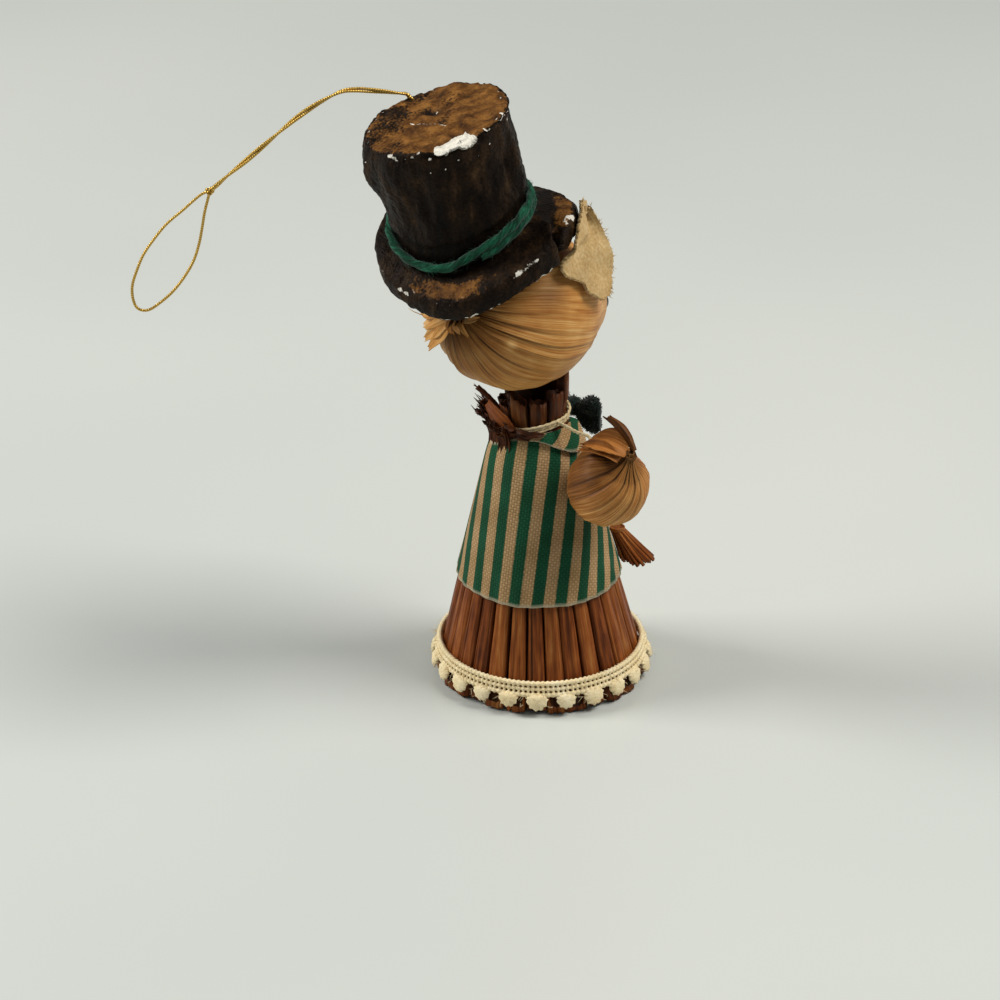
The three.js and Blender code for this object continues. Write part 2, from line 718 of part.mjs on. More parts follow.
const exitPoint = hat.localToWorld(crownPoint(exitAngle, 1, -exitInset - crownEdge));
const hanger = addGroup(mouse, exitPoint, [0, 0, hangerPlane]);
const onRoute = ([run, rise]) => at(run, 0, rise);
addPiece("hanger_stem", cordAlong(stemRoute.map(onRoute), stemDiameter, 8, 22), goldThread, hanger);
addPiece("hanger_loop", cordAlong(loopRoute.map(onRoute), loopDiameter, 8, 40), goldThread, hanger);
const knotAt = onRoute(knotPlace);
const knot = new THREE.SphereGeometry(knotDiameter / 2, 12, 8).translate(knotAt.x, knotAt.y, knotAt.z);
addPiece("hanger_knot", knot, goldThread, hanger);

export default mouse;
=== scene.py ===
# %% [markdown]
# The straw mouse ornament is a cone of straw with a husk head, a striped smock and a foam top hat. Its
# measured solids come packed as a frame, in metres, with +Z up and the mouse looking along -Y. This lesson
# gives every solid the surface of the real thing: split straw, pleated husk, woven cotton, chipped paint. It
# could be sculpted by hand, but here every form is a formula, so a pleat or a chip can be changed by one
# number.

# %% Load the frame
import json
import math
import random

import bpy
import numpy as np
from mathutils import Matrix, Vector, noise


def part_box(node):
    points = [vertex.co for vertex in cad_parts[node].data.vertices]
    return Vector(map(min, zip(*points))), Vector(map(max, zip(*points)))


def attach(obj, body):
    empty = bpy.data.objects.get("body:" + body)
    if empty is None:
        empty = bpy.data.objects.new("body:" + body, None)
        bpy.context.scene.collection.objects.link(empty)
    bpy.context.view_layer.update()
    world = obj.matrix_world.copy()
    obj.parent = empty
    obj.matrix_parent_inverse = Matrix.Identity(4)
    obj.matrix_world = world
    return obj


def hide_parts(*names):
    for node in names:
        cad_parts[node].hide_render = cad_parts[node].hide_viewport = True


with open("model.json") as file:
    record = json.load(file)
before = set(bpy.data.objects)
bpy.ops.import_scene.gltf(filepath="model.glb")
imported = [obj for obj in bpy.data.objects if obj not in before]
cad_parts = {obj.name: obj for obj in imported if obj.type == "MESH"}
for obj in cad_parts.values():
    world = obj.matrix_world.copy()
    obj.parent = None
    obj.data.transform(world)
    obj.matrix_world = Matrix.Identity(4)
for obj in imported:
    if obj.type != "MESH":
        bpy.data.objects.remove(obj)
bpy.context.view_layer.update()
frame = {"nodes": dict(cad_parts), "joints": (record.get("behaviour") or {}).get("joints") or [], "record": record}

body_of = {node: body for body, nodes in frame["record"]["behaviour"]["bodies"].items() for node in nodes}

# %% [markdown]
# All the pieces are grids of points in millimetres, worked out with numpy. Modifiers could bend ready-made
# meshes instead, but then a fold and the dirt in it would not come from the same numbers. Smooth steps and
# bells make soft borders, and wobble makes things uneven.

# %% Points and grids
MM = 0.001
TURN = 2 * math.pi


def polar(radius, angle, z):
    return np.stack(np.broadcast_arrays(radius * np.cos(angle), radius * np.sin(angle), z), -1)


def full_turn(count):
    """Angles evenly spaced around a full turn."""
    return np.linspace(0, TURN, count, endpoint=False)


def unit(vectors):
    return vectors / np.linalg.norm(vectors, axis=-1, keepdims=True)


def grid_faces(rows, columns, wrap=False):
    """Quads over points that are stored row after row. With wrap, the last column joins the first."""
    row, column = np.meshgrid(np.arange(rows - 1), np.arange(columns if wrap else columns - 1), indexing="ij")
    start = row * columns
    beside = (column + 1) % columns
    corners = [start + column, start + beside, start + columns + beside, start + columns + column]
    return np.stack(corners, -1).reshape(-1, 4)


def closed_faces(rows, columns):
    """Faces of a closed barrel: rings of points, with a cap on the first ring and on the last."""
    last = (rows - 1) * columns
    caps = [tuple(range(columns))[::-1], tuple(last + column for column in range(columns))]
    return [*grid_faces(rows, columns, wrap=True).tolist(), *caps]


def pointed_faces(rows, columns):
    """Faces of rings that close in a point at both ends. The two end points are stored after the rings."""
    count, last = rows * columns, (rows - 1) * columns
    pairs = [(column, (column + 1) % columns) for column in range(columns)]
    ends = [(count, beside, column) for column, beside in pairs]
    ends += [(count + 1, last + column, last + beside) for column, beside in pairs]
    return [*grid_faces(rows, columns, wrap=True).tolist(), *ends]


def sheet_faces(rows, columns):
    """Faces of a thin closed sheet whose points are its outer grid and then its inner grid."""
    count = rows * columns
    grid = grid_faces(rows, columns)
    border = list(range(columns))
    border += [row * columns + columns - 1 for row in range(1, rows)]
    border += [(rows - 1) * columns + column for column in range(columns - 2, -1, -1)]
    border += [row * columns for row in range(rows - 2, 0, -1)]
    pairs = zip([border[-1], *border], border)
    sides = [(before, before + count, here + count, here) for before, here in pairs]
    return [*grid.tolist(), *(grid[:, ::-1] + count).tolist(), *sides], border


def lerp(start, end, share):
    return start + (end - start) * share


def smooth_step(value, low, high):
    share = np.clip((np.asarray(value, float) - low) / (high - low), 0, 1)
    return share * share * (3 - 2 * share)


def bell(value, middle, width):
    """A smooth bump of height 1 around a middle, which fades over a width on both sides."""
    return np.exp(-((value - middle) / width) ** 2)


def wobble(points, size, seed=0):
    """Smooth noise from about -1 to 1 at points in millimetres, with bumps about as wide as size."""
    points = np.asarray(points, float)
    flat = points.reshape(-1, 3) / size + np.array([seed * 7.31, seed * 3.17, seed * 5.73])
    return np.array([noise.noise(point) for point in flat.tolist()]).reshape(points.shape[:-1])


def draws(rng, count, low=-1.0, high=1.0):
    """A row of random numbers between two limits."""
    return np.array([rng.uniform(low, high) for _ in range(count)])


def solid_box(node):
    """Lowest corner, highest corner and middle of a measured solid, in millimetres."""
    low, high = (np.array(corner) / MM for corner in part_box(node))
    return low, high, (low + high) / 2


# %% [markdown]
# A Shape gathers the grids of one piece, with values painted on the points: the grain says where a point
# lies along and across a fibre, the shade how far its colour moves to the finish's second colour: painted
# shade in folds, hollows and under other parts, and darker or paler bits of the thing itself. Painted values
# need no picture and no unwrapping, and they follow each fold exactly.

# %% Shape of one piece
class Shape:
    """The points and faces of one piece, with values painted on the points."""

    def __init__(self):
        self.points = []
        self.faces = []
        self.paint = {}
        self.count = 0

    def add(self, points, faces, **paint):
        points = np.asarray(points, float).reshape(-1, 3)
        self.faces.extend(tuple(int(corner) + self.count for corner in face) for face in faces)
        for key, values in paint.items():
            width = 3 if key == "grain" else 1
            values = np.broadcast_to(np.asarray(values, float).reshape(-1, width), (len(points), width))
            self.paint.setdefault(key, []).append((self.count, values))
        self.points.append(points)
        self.count += len(points)
        return self


def make_piece(shape, name, finish, nodes=(), body=None):
    """Turns a shape into a Blender object that rides on a body and stands for solids of the frame."""
    nodes = [nodes] if isinstance(nodes, str) else list(nodes)
    mesh = bpy.data.meshes.new(name)
    mesh.from_pydata((np.concatenate(shape.points) * MM).tolist(), [], shape.faces)
    for key, parts in shape.paint.items():
        width = 3 if key == "grain" else 1
        values = np.zeros((shape.count, width), np.float32)
        for start, part in parts:
            values[start:start + len(part)] = part
        kind = "FLOAT_VECTOR" if width == 3 else "FLOAT"
        attribute = mesh.attributes.new(key, kind, "POINT")
        attribute.data.foreach_set("vector" if width == 3 else "value", values.ravel())
    mesh.shade_smooth()
    mesh.materials.append(finish)
    made = bpy.data.objects.new(name, mesh)
    bpy.context.scene.collection.objects.link(made)
    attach(made, body or body_of[nodes[0]])
    if nodes:
        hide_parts(*nodes)
    print(f"{name}: {shape.count} points, {len(shape.faces)} faces")
    return made


# %% [markdown]
# Threads, splinters and loose fibres are long things on a path. Blender's curves with a bevel would draw the
# plain ones, but not plies that turn or a strip with a torn tip, so helpers lay the points along a path
# themselves.

# %% Tubes
def rail(path):
    """Two cross directions at each point of a path, carried along it without twist."""
    tangent = unit(np.gradient(path, axis=0))
    start = np.cross(tangent[0], (0.3, 0.2, 1.0))
    sides = []
    for step in tangent:
        start = unit(start - step * (start @ step))
        sides.append(start)
    sides = np.array(sides)
    return sides, np.cross(tangent, sides)


def path_lengths(path):
    return np.concatenate([[0], np.cumsum(np.linalg.norm(np.diff(path, axis=0), axis=1))])


def add_tube(shape, path, radius, sides=10, plies=0, ply_depth=0.0, lay=1.0, **paint):
    """A closed tube along a path. Plies are lobes of the section that turn once in every lay of length."""
    path = np.asarray(path, float)
    across, up = rail(path)
    along = path_lengths(path)
    angle = full_turn(sides)
    size = np.broadcast_to(np.asarray(radius, float), along.shape)[:, None]
    if plies:
        turned = angle[None, :] + TURN * along[:, None] / lay
        size = size * (1 - ply_depth + ply_depth * np.abs(np.cos(plies * turned / 2)))
    size = size * np.ones((len(path), sides))
    ring = across[:, None] * np.cos(angle)[None, :, None] + up[:, None] * np.sin(angle)[None, :, None]
    points = path[:, None] + ring * size[..., None]
    twist = angle[None, :] + (TURN * along[:, None] / lay if plies else 0)
    grain = np.stack([size * np.cos(twist), size * np.sin(twist), along[:, None] + 0 * size], -1)
    points = np.concatenate([points.reshape(-1, 3), path[:1], path[-1:]])
    grain = np.concatenate([grain.reshape(-1, 3), [[0, 0, 0]], [[0, 0, along[-1]]]])
    return shape.add(points, pointed_faces(len(path), sides), grain=grain, **paint)


def smooth_path(route, steps):
    """A smooth curve through given points, with evenly spaced points of its own."""
    route = np.asarray(route, float)
    padded = np.concatenate([[2 * route[0] - route[1]], route, [2 * route[-1] - route[-2]]])
    fine = []
    for index in range(len(route) - 1):
        before, start, end, after = padded[index:index + 4]
        share = np.linspace(0, 1, 24, endpoint=False)[:, None]
        bend = 2 * before - 5 * start + 4 * end - after
        curl = 3 * start - before - 3 * end + after
        fine.append(0.5 * (2 * start + (end - before) * share + bend * share ** 2 + curl * share ** 3))
    fine = np.concatenate([*fine, route[-1:]])
    along = path_lengths(fine)
    even = np.linspace(0, along[-1], steps)
    return np.stack([np.interp(even, along, fine[:, axis]) for axis in range(3)], -1)


# %% Hairs and strips
def add_hair(shape, root, direction, length, radius, bend, rng, **paint):
    """One loose fibre: a three-sided tube that tapers and bends a little."""
    direction = unit(np.asarray(direction, float))
    sag = draws(rng, 3) * bend * length
    share = np.array([0, 0.35, 0.7, 1.0])[:, None]
    path = np.asarray(root) + direction * length * share + sag * share ** 2
    return add_tube(shape, path, radius * np.array([1, 0.9, 0.7, 0.25]), sides=3, **paint)


def add_strip(shape, spine, widths, curl, normal, rng, rows=18, columns=9, thickness=0.16, **paint):
    """A strip of leaf or split straw along a spine, curled across, with a torn tip."""
    path = smooth_path(spine, rows)
    tangent = unit(np.gradient(path, axis=0))
    across = unit(np.cross(tangent, normal))
    up = np.cross(across, tangent)
    share = np.linspace(-1, 1, columns)
    wide = np.interp(np.linspace(0, 1, rows), np.linspace(0, 1, len(widths)), widths)[:, None] / 2
    ribs = 0.05 * draws(rng, columns)[None, :]
    bow = curl * (share[None, :] ** 2 - 0.3) * wide + ribs
    top = path[:, None] + across[:, None] * (wide * share)[..., None] + up[:, None] * bow[..., None]
    torn = draws(rng, columns, -0.6, 0.6) * widths[-1]
    top[-1] += tangent[-1] * torn[:, None]
    grain = np.stack([wide * share * 2.0, 0 * wide * share + rng.uniform(0, 40),
                      path_lengths(path)[:, None] + 0 * wide * share], -1)
    faces, _ = sheet_faces(rows, columns)
    shape.add(np.stack([top, top - up[:, None] * thickness]), faces, grain=np.stack([grain, grain]), **paint)


# %% [markdown]
# The figure is seen from behind its right shoulder and from above. A short lens close by would make the hat
# look huge, so a long one from far away is chosen, which keeps upright lines nearly parallel. The camera
# looks past the middle a little, which turns and dips it.

# %% Camera
camera_azimuth = math.radians(225)
camera_rise = math.radians(29)
camera_distance = 742
camera_turn = math.radians(0.523)
camera_dip = math.radians(27.193)
toward_camera = Vector((math.sin(camera_azimuth), -math.cos(camera_azimuth), 0))
image_left = Vector((toward_camera.y, -toward_camera.x, 0))
upward = Vector((0, 0, 1))

looking = Matrix.Rotation(camera_turn, 3, "Z") @ -toward_camera
looking = looking * math.cos(camera_dip) - upward * math.sin(camera_dip)
image_right = looking.cross(upward).normalized()
image_up = image_right.cross(looking)
camera = bpy.data.objects.new("camera", bpy.data.cameras.new("camera"))
bpy.context.scene.collection.objects.link(camera)
camera.data.sensor_width = 36
camera.data.lens = 187
camera.data.clip_start = 0.01
place = (toward_camera * math.cos(camera_rise) + upward * math.sin(camera_rise)) * camera_distance * MM
camera_axes = Matrix((image_right, image_up, -looking)).transposed()
camera.matrix_world = Matrix.Translation(place) @ camera_axes.to_4x4()
bpy.context.scene.camera = camera
print("camera at", [round(value, 3) for value in place],
      "image left is", [round(value, 2) for value in image_left])

# %% [markdown]
# Two broad lamps stand at the sides, so the rounded sides are bright and the middle is darker. One lamp in
# front would be simpler, but it would flatten the pleats. An even pale sky fills the rest, and the floor is
# a pale, slightly glossy table.

# %% Light and floor
lamp_distance = 700
lamp_size = 300
lamp_aim = Vector((0, 0, 45)) * MM
floor_side = 3000
scene = bpy.context.scene
scene.view_settings.view_transform = "Standard"
world = bpy.data.worlds.new("pale_sky")
world.use_nodes = True
sky = world.node_tree.nodes["Background"]
sky.inputs["Color"].default_value = (0.97, 0.99, 1.0, 1)
sky.inputs["Strength"].default_value = 0.2
scene.world = world


def add_lamp(name, direction, power, colour):
    lamp = bpy.data.lights.new(name, "AREA")
    lamp.size = lamp_size * MM
    lamp.energy = power
    lamp.color = colour
    made = bpy.data.objects.new(name, lamp)
    scene.collection.objects.link(made)
    made.location = lamp_aim + direction.normalized() * lamp_distance * MM
    made.rotation_euler = direction.to_track_quat("Z", "Y").to_euler()
    print(f"{name}: {power} W, {lamp_size} mm wide")


add_lamp("right_lamp", -image_left + toward_camera * 0.12 + upward * 1.4, 4.2, (1.0, 0.97, 0.92))
add_lamp("left_lamp", image_left - toward_camera * 0.05 + upward * 0.7, 4.0, (1.0, 0.98, 0.94))

half = floor_side / 2 * MM
floor_corners = [(-half, -half, 0), (half, -half, 0), (half, half, 0), (-half, half, 0)]
floor_mesh = bpy.data.meshes.new("table_top")
floor_mesh.from_pydata(floor_corners, [], [(0, 1, 2, 3)])
table_top = bpy.data.objects.new("table_top", floor_mesh)
scene.collection.objects.link(table_top)

# %% [markdown]
# Each finish is a small node tree on a Principled shader. Image textures would need unwrapping and would tie
# the finish to one picture, so noise and painted values do the work. A few helpers keep the trees short.

# %% Node helpers
def srgb(code):
    """A colour written as six hex digits, in the linear values that the shader takes."""
    parts = [int(code[start:start + 2], 16) / 255 for start in (0, 2, 4)]
    return [part / 12.92 if part <= 0.04045 else ((part + 0.055) / 1.055) ** 2.4 for part in parts] + [1.0]


def new_finish(name, roughness, **sockets):
    finish = bpy.data.materials.new(name)
    finish.use_nodes = True
    shader = finish.node_tree.nodes["Principled BSDF"]
    shader.inputs["Roughness"].default_value = roughness
    for socket, value in sockets.items():
        shader.inputs[socket.replace("_", " ")].default_value = value
    print("finish:", name)
    return finish, finish.node_tree, shader


def set_input(tree, socket, value):
    """Links another node's output to a socket, or sets a plain value on it."""
    if isinstance(value, bpy.types.NodeSocket):
        tree.links.new(value, socket)
    else:
        socket.default_value = value


def add_node(tree, kind, inputs=None, **settings):
    made = tree.nodes.new("ShaderNode" + kind)
    for key, value in settings.items():
        setattr(made, key, value)
    for key, value in (inputs or {}).items():
        set_input(tree, made.inputs[key], value)
    return made


def painted(tree, key):
    attribute = add_node(tree, "Attribute", attribute_name=key)
    return attribute.outputs["Vector" if key == "grain" else "Fac"]


def maths(tree, operation, first, second=0.0, third=0.0):
    return add_node(tree, "Math", {0: first, 1: second, 2: third}, operation=operation).outputs[0]


def weighted(tree, value, weight, base):
    """A value times its weight, added to a base."""
    return maths(tree, "MULTIPLY_ADD", value, weight, base)


def speckle(tree, vector, scale, detail=3.0, stretch=(1, 1, 1)):
    """Noise from 0 to 1 on a vector in millimetres, stretched along the axes with small numbers."""
    moved = add_node(tree, "Mapping", {"Vector": vector, "Scale": stretch}).outputs[0]
    return add_node(tree, "TexNoise", {"Vector": moved, "Scale": scale, "Detail": detail}).outputs["Fac"]


def ramp(tree, share, stops):
    made = add_node(tree, "ValToRGB", {"Fac": share})
    elements = made.color_ramp.elements
    while len(elements) < len(stops):
        elements.new(0.5)
    for element, (position, code) in zip(elements, stops):
        element.position = position
        element.color = srgb(code)
    return made.outputs["Color"]


def mixed(tree, share, one, other, blend="MIX"):
    made = add_node(tree, "Mix", data_type="RGBA", blend_type=blend)
    for socket, value in ((made.inputs[0], share), (made.inputs[6], one), (made.inputs[7], other)):
        set_input(tree, socket, value)
    return made.outputs[2]


def roughen(tree, shader, height, depth):
    """Bumps of a depth in millimetres on the shader's surface."""
    bump = add_node(tree, "Bump", {"Height": height, "Distance": depth * MM, "Strength": 1.0})
    tree.links.new(bump.outputs["Normal"], shader.inputs["Normal"])


def object_millimetres(tree):
    """Places on the piece, in millimetres."""
    place = add_node(tree, "TexCoord").outputs["Object"]
    return add_node(tree, "VectorMath", {0: place, "Scale": 1000.0}, operation="SCALE").outputs[0]


# %% [markdown]
# The table's finish shows the helpers at work: large soft clouds of noise choose between two pale greys.

# %% Table finish
table_finish, tree, shader = new_finish("table_finish", 0.28, Specular_IOR_Level=0.35)
clouds = speckle(tree, object_millimetres(tree), 0.006, 2.0)
tree.links.new(ramp(tree, clouds, [(0.3, "c3c8c4"), (0.7, "cdd1cc")]), shader.inputs["Base Color"])
floor_mesh.materials.append(table_finish)
print("table:", floor_side, "mm square")

# %% [markdown]
# Straw, husk and wood are dry plant fibres. Their colour changes quickly across the fibre and slowly along
# it, so the noise is stretched along the grain. A wave texture would draw stripes too, but too evenly. A
# painted tint tells one straw from the next, and a painted shade darkens the folds, the hollows and the
# places under other parts, where shade falls.

# %% Fibre finishes
dry_gloss = 0.15
fine_weight = 0.35
patch_weight = 0.35
tint_weight = 0.45


def fibre_finish(name, stops, dark, roughness, across=2.2, along=0.12, ridge=0.05):
    finish, tree, shader = new_finish(name, roughness, Specular_IOR_Level=dry_gloss)
    grain = painted(tree, "grain")
    streaks = speckle(tree, grain, across, 4.0, (1, 1, along))
    fine = speckle(tree, grain, across * 3.2, 2.0, (1, 1, along * 0.4))
    patches = speckle(tree, object_millimetres(tree), 0.35, 2.0)
    tone = weighted(tree, patches, patch_weight, weighted(tree, fine, fine_weight, streaks))
    middle_tone = (fine_weight + patch_weight) / 2
    tone = weighted(tree, painted(tree, "tint"), tint_weight, maths(tree, "SUBTRACT", tone, middle_tone))
    colour = ramp(tree, tone, stops)
    colour = mixed(tree, painted(tree, "shade"), colour, srgb(dark))
    tree.links.new(colour, shader.inputs["Base Color"])
    roughen(tree, shader, maths(tree, "ADD", streaks, fine), ridge)
    return finish


straw_finish = fibre_finish(
    "dry_straw", [(0.15, "441d08"), (0.42, "743a14"), (0.64, "945323"), (0.92, "b37b42")], "180a04", 0.45,
    across=2.6, along=0.07)
husk_finish = fibre_finish(
    "pale_husk", [(0.1, "7e4a1c"), (0.36, "b07336"), (0.6, "cb9350"), (0.92, "e6bb7c")], "35190a", 0.45,
    across=2.4, along=0.05, ridge=0.08)
sack_husk_finish = fibre_finish(
    "brown_husk", [(0.1, "5a330f"), (0.38, "945b26"), (0.6, "b4763a"), (0.92, "d09c5c")], "200f06", 0.45,
    across=2.6, along=0.05, ridge=0.08)
wood_finish = fibre_finish("stained_peg", [(0.2, "2c1a10"), (0.8, "4d3220")], "120a06", 0.6)

# %% [markdown]
# The smock's cotton is a plain weave: the product of one sine across and one along says which thread lies on
# top. Its stripes are dyed into the warp, so they run straight in the flat cloth. They could be drawn on the
# cone itself, but then they wouldn't run askew where the wrapped cloth does. Four layers multiply the stripe
# colour: uneven threads, threads on top, gaps between them, and fading.

# %% Striped cotton
weave_pitch = 0.36
stripe_pitch = 3.1
stripe_green = "19583c"
stripe_tan = "c6a47a"
cut_edge_colour = "d9cdb0"


def striped_cotton():
    finish, tree, shader = new_finish("striped_cotton", 0.9, Specular_IOR_Level=dry_gloss, Sheen_Weight=0.05)
    grain = painted(tree, "grain")
    cloth = add_node(tree, "SeparateXYZ", {0: grain})
    uneven = speckle(tree, grain, 1.5, 2.0)
    across = weighted(tree, uneven, 0.2, cloth.outputs["X"])
    stripe = maths(tree, "FRACT", maths(tree, "DIVIDE", across, stripe_pitch))
    colour = ramp(tree, stripe, [(0.0, stripe_green), (0.46, stripe_green), (0.51, stripe_tan),
                                 (0.95, stripe_tan), (1.0, stripe_green)])
    warp = maths(tree, "SINE", maths(tree, "MULTIPLY", cloth.outputs["X"], math.pi / weave_pitch))
    weft = maths(tree, "SINE", maths(tree, "MULTIPLY", cloth.outputs["Y"], math.pi / weave_pitch))
    crossing = maths(tree, "MULTIPLY", warp, weft)
    height = maths(tree, "ABSOLUTE", crossing)
    warp_threads = speckle(tree, grain, 3.4, 1.0, (1, 0.05, 1))
    weft_threads = speckle(tree, grain, 3.4, 1.0, (0.05, 1, 1))
    threads = maths(tree, "ADD", warp_threads, weft_threads)
    for value, share, stops in (
            (threads, 1.0, [(0.35, "a89c84"), (0.65, "ffffff")]),
            (weighted(tree, crossing, 0.5, 0.5), 0.45, [(0.3, "ffffff"), (0.7, "c4b89c")]),
            (height, 0.5, [(0.0, "6d6356"), (0.35, "ffffff")]),
            (speckle(tree, grain, 0.22, 3.0), 1.0, [(0.3, "d8d4c6"), (0.7, "ffffff")])):
        colour = mixed(tree, share, colour, ramp(tree, value, stops), "MULTIPLY")
    colour = mixed(tree, painted(tree, "shade"), colour, srgb(cut_edge_colour))
    tree.links.new(colour, shader.inputs["Base Color"])
    roughen(tree, shader, weighted(tree, threads, 0.6, height), 0.05)
    return finish


smock_finish = striped_cotton()
print("cotton:", stripe_pitch, "mm from stripe to stripe, threads every", weave_pitch, "mm")

# %% [markdown]
# Lace, twine, felt, yarn and velvet are matt soft fibres whose colour wavers a little. Real hair on each
# would be slow to render, so the finish wavers the colour and roughens the surface, and the pieces add a few
# loose fibres. Twine and yarn stretch the noise along their length.

# %% Cloth finishes
# The colour that the painted value moves to: painted shade between the lace's loops, and the darker felt low on
# the ears.
shade_and_dust_colour = "3a2a18"
along_thread = (1, 1, 0.25)
along_yarn = (1, 1, 0.15)


def soft_finish(name, stops, scale, ridge, roughness=0.95, stretch=(1, 1, 1), **sockets):
    finish, tree, shader = new_finish(name, roughness, Specular_IOR_Level=dry_gloss, **sockets)
    fibres = speckle(tree, painted(tree, "grain"), scale, 4.0, stretch)
    patches = speckle(tree, object_millimetres(tree), 0.4, 2.0)
    tone = weighted(tree, patches, 0.5, maths(tree, "SUBTRACT", fibres, 0.25))
    colour = mixed(tree, painted(tree, "shade"), ramp(tree, tone, stops), srgb(shade_and_dust_colour))
    tree.links.new(colour, shader.inputs["Base Color"])
    roughen(tree, shader, fibres, ridge)
    return finish


lace_finish = soft_finish("cream_lace", [(0.2, "d8bc88"), (0.5, "f2e0b4"), (0.8, "fbf0d2")], 5.0, 0.08)
twine_finish = soft_finish(
    "cream_twine", [(0.2, "9c8660"), (0.5, "d3c196"), (0.8, "ece0c0")], 5.0, 0.06, stretch=along_thread)
felt_finish = soft_finish(
    "cream_felt", [(0.15, "a88759"), (0.5, "c3a470"), (0.85, "d8c093")], 2.4, 0.04, Sheen_Weight=0.05)
brown_thread_finish = soft_finish(
    "brown_thread", [(0.2, "2a180c"), (0.5, "50341a"), (0.8, "74522e")], 5.0, 0.06, stretch=along_thread)
yarn_finish = soft_finish(
    "green_yarn", [(0.2, "021810"), (0.5, "073d2a"), (0.8, "217555")], 4.0, 0.08, stretch=along_yarn,
    Sheen_Weight=0.15)
velvet_finish = soft_finish(
    "dark_velvet", [(0.2, "040908"), (0.5, "0a1512"), (0.8, "1b322b")], 4.0, 0.1, Sheen_Weight=0.2)

# %% [markdown]
# The hat was cut from white foam, painted dark brown and handled for years: the top is rubbed to ochre and
# the edges have lost their paint. Where that happened is painted on the mesh as worn and bare. On the crown's
# top the ochre also grows toward one side as painted light, and a painted shade darkens the crown's foot,
# the dent and the brim beside the crown and in its crease. The borders of a painted value are soft, so
# noise is added before a steep ramp, which breaks them up into flakes.

# %% Painted foam
paint_gloss = 0.07
deep_shade_colour = "070504"
bare_foam_colour = "e2ded2"


def painted_foam():
    finish, tree, shader = new_finish("worn_paint", 0.5, Specular_IOR_Level=paint_gloss)
    place = object_millimetres(tree)
    coarse = speckle(tree, place, 0.55, 4.0, (1, 1, 0.5))
    fine = speckle(tree, place, 2.6, 4.0)
    paint = ramp(tree, weighted(tree, fine, 0.5, maths(tree, "SUBTRACT", coarse, 0.25)),
                 [(0.25, "0b0603"), (0.46, "1a1008"), (0.64, "2d1f12"), (0.85, "4d3922")])
    ochre = ramp(tree, weighted(tree, fine, 0.4, maths(tree, "SUBTRACT", coarse, 0.2)),
                 [(0.2, "24150a"), (0.42, "553618"), (0.62, "7a5226"), (0.9, "a0713a")])
    worn = weighted(tree, maths(tree, "SUBTRACT", fine, 0.5), 0.9, painted(tree, "worn"))
    colour = mixed(tree, ramp(tree, worn, [(0.4, "000000"), (0.62, "ffffff")]), paint, ochre)
    bare = weighted(tree, maths(tree, "SUBTRACT", fine, 0.5), 0.7, painted(tree, "bare"))
    bare = ramp(tree, bare, [(0.48, "000000"), (0.58, "ffffff")])
    colour = mixed(tree, painted(tree, "shade"), colour, srgb(deep_shade_colour))
    colour = mixed(tree, bare, colour, srgb(bare_foam_colour))
    tree.links.new(colour, shader.inputs["Base Color"])
    roughen(tree, shader, weighted(tree, coarse, 1.5, fine), 0.22)
    return finish


hat_finish = painted_foam()

# %% [markdown]
# The hanging thread is gold foil wound around a core, so a sine along it draws the turns as fine ridges. A
# real wound strip would take far more points and look the same. Beads, bare foam and the glued core only
# need a little speckle.

# %% Gold, bead and core finishes
foil_pitch = 0.34


def gold_foil():
    finish, tree, shader = new_finish("gold_foil", 0.3, Metallic=0.9)
    along = add_node(tree, "SeparateXYZ", {0: painted(tree, "grain")}).outputs["Z"]
    wound = maths(tree, "SINE", maths(tree, "MULTIPLY", along, TURN / foil_pitch))
    stops = [(0.0, "b08a3c"), (0.4, "c79c48"), (0.8, "d9b660")]
    colour = ramp(tree, weighted(tree, wound, 0.5, 0.5), stops)
    tree.links.new(colour, shader.inputs["Base Color"])
    roughen(tree, shader, wound, 0.02)
    return finish


def speckled_finish(name, stops, scale, roughness, ridge, **sockets):
    finish, tree, shader = new_finish(name, roughness, **sockets)
    grains = speckle(tree, object_millimetres(tree), scale, 3.0)
    tree.links.new(ramp(tree, grains, stops), shader.inputs["Base Color"])
    roughen(tree, shader, grains, ridge)
    return finish


gold_finish = gold_foil()
bead_finish = speckled_finish(
    "black_bead", [(0.3, "060606"), (0.7, "15120f")], 1.5, 0.12, 0.01, Coat_Weight=0.5)
foam_finish = speckled_finish("bare_foam", [(0.3, "cfc7b4"), (0.7, "e9e3d6")], 1.6, 0.95, 0.15)
core_finish = speckled_finish("glued_core", [(0.3, "1a0f08"), (0.7, "3a2413")], 1.2, 0.8, 0.1)

# %% [markdown]
# The hanging thread is doubled, tied to a loop and glued into the hat. It is stiff enough to stand out and
# fall in one arc, where a simulated rope would hang limp, so its route is a list of given places.
# The stem shows two strands that turn around each other, the knot is a real turn of thread over itself, and
# the loop is a single strand.

# %% Thread route
hanger_plane = math.radians(45)
strand_diameter = 0.4
stem_route = [
    (0.3, 0.75), (1.6, 0.85), (3.2, 1.05), (5.1, 1.2), (7.0, 1.3), (8.9, 1.1), (10.8, 0.2), (12.9, -1.1),
    (15.3, -2.9), (17.8, -5.1), (20.3, -7.4), (22.6, -9.5), (24.9, -11.5), (26.6, -13.1)]
knot_place = (27.4, -13.8)
loop_route = [
    (27.7, -15.0), (28.2, -17.0), (28.6, -19.3), (29.1, -21.8), (29.9, -24.3), (31.2, -26.7), (32.9, -29.0),
    (34.8, -30.8), (36.5, -31.9), (37.9, -31.6), (38.5, -30.1), (38.5, -28.1), (37.8, -25.8), (36.8, -23.4),
    (35.3, -21.1), (33.5, -18.8), (31.2, -16.7), (28.7, -14.4)]
hinge_place = next(joint["pos_m"] for joint in frame["joints"] if joint["name"] == "hanger_swing")
hinge_place = np.array(hinge_place) / MM


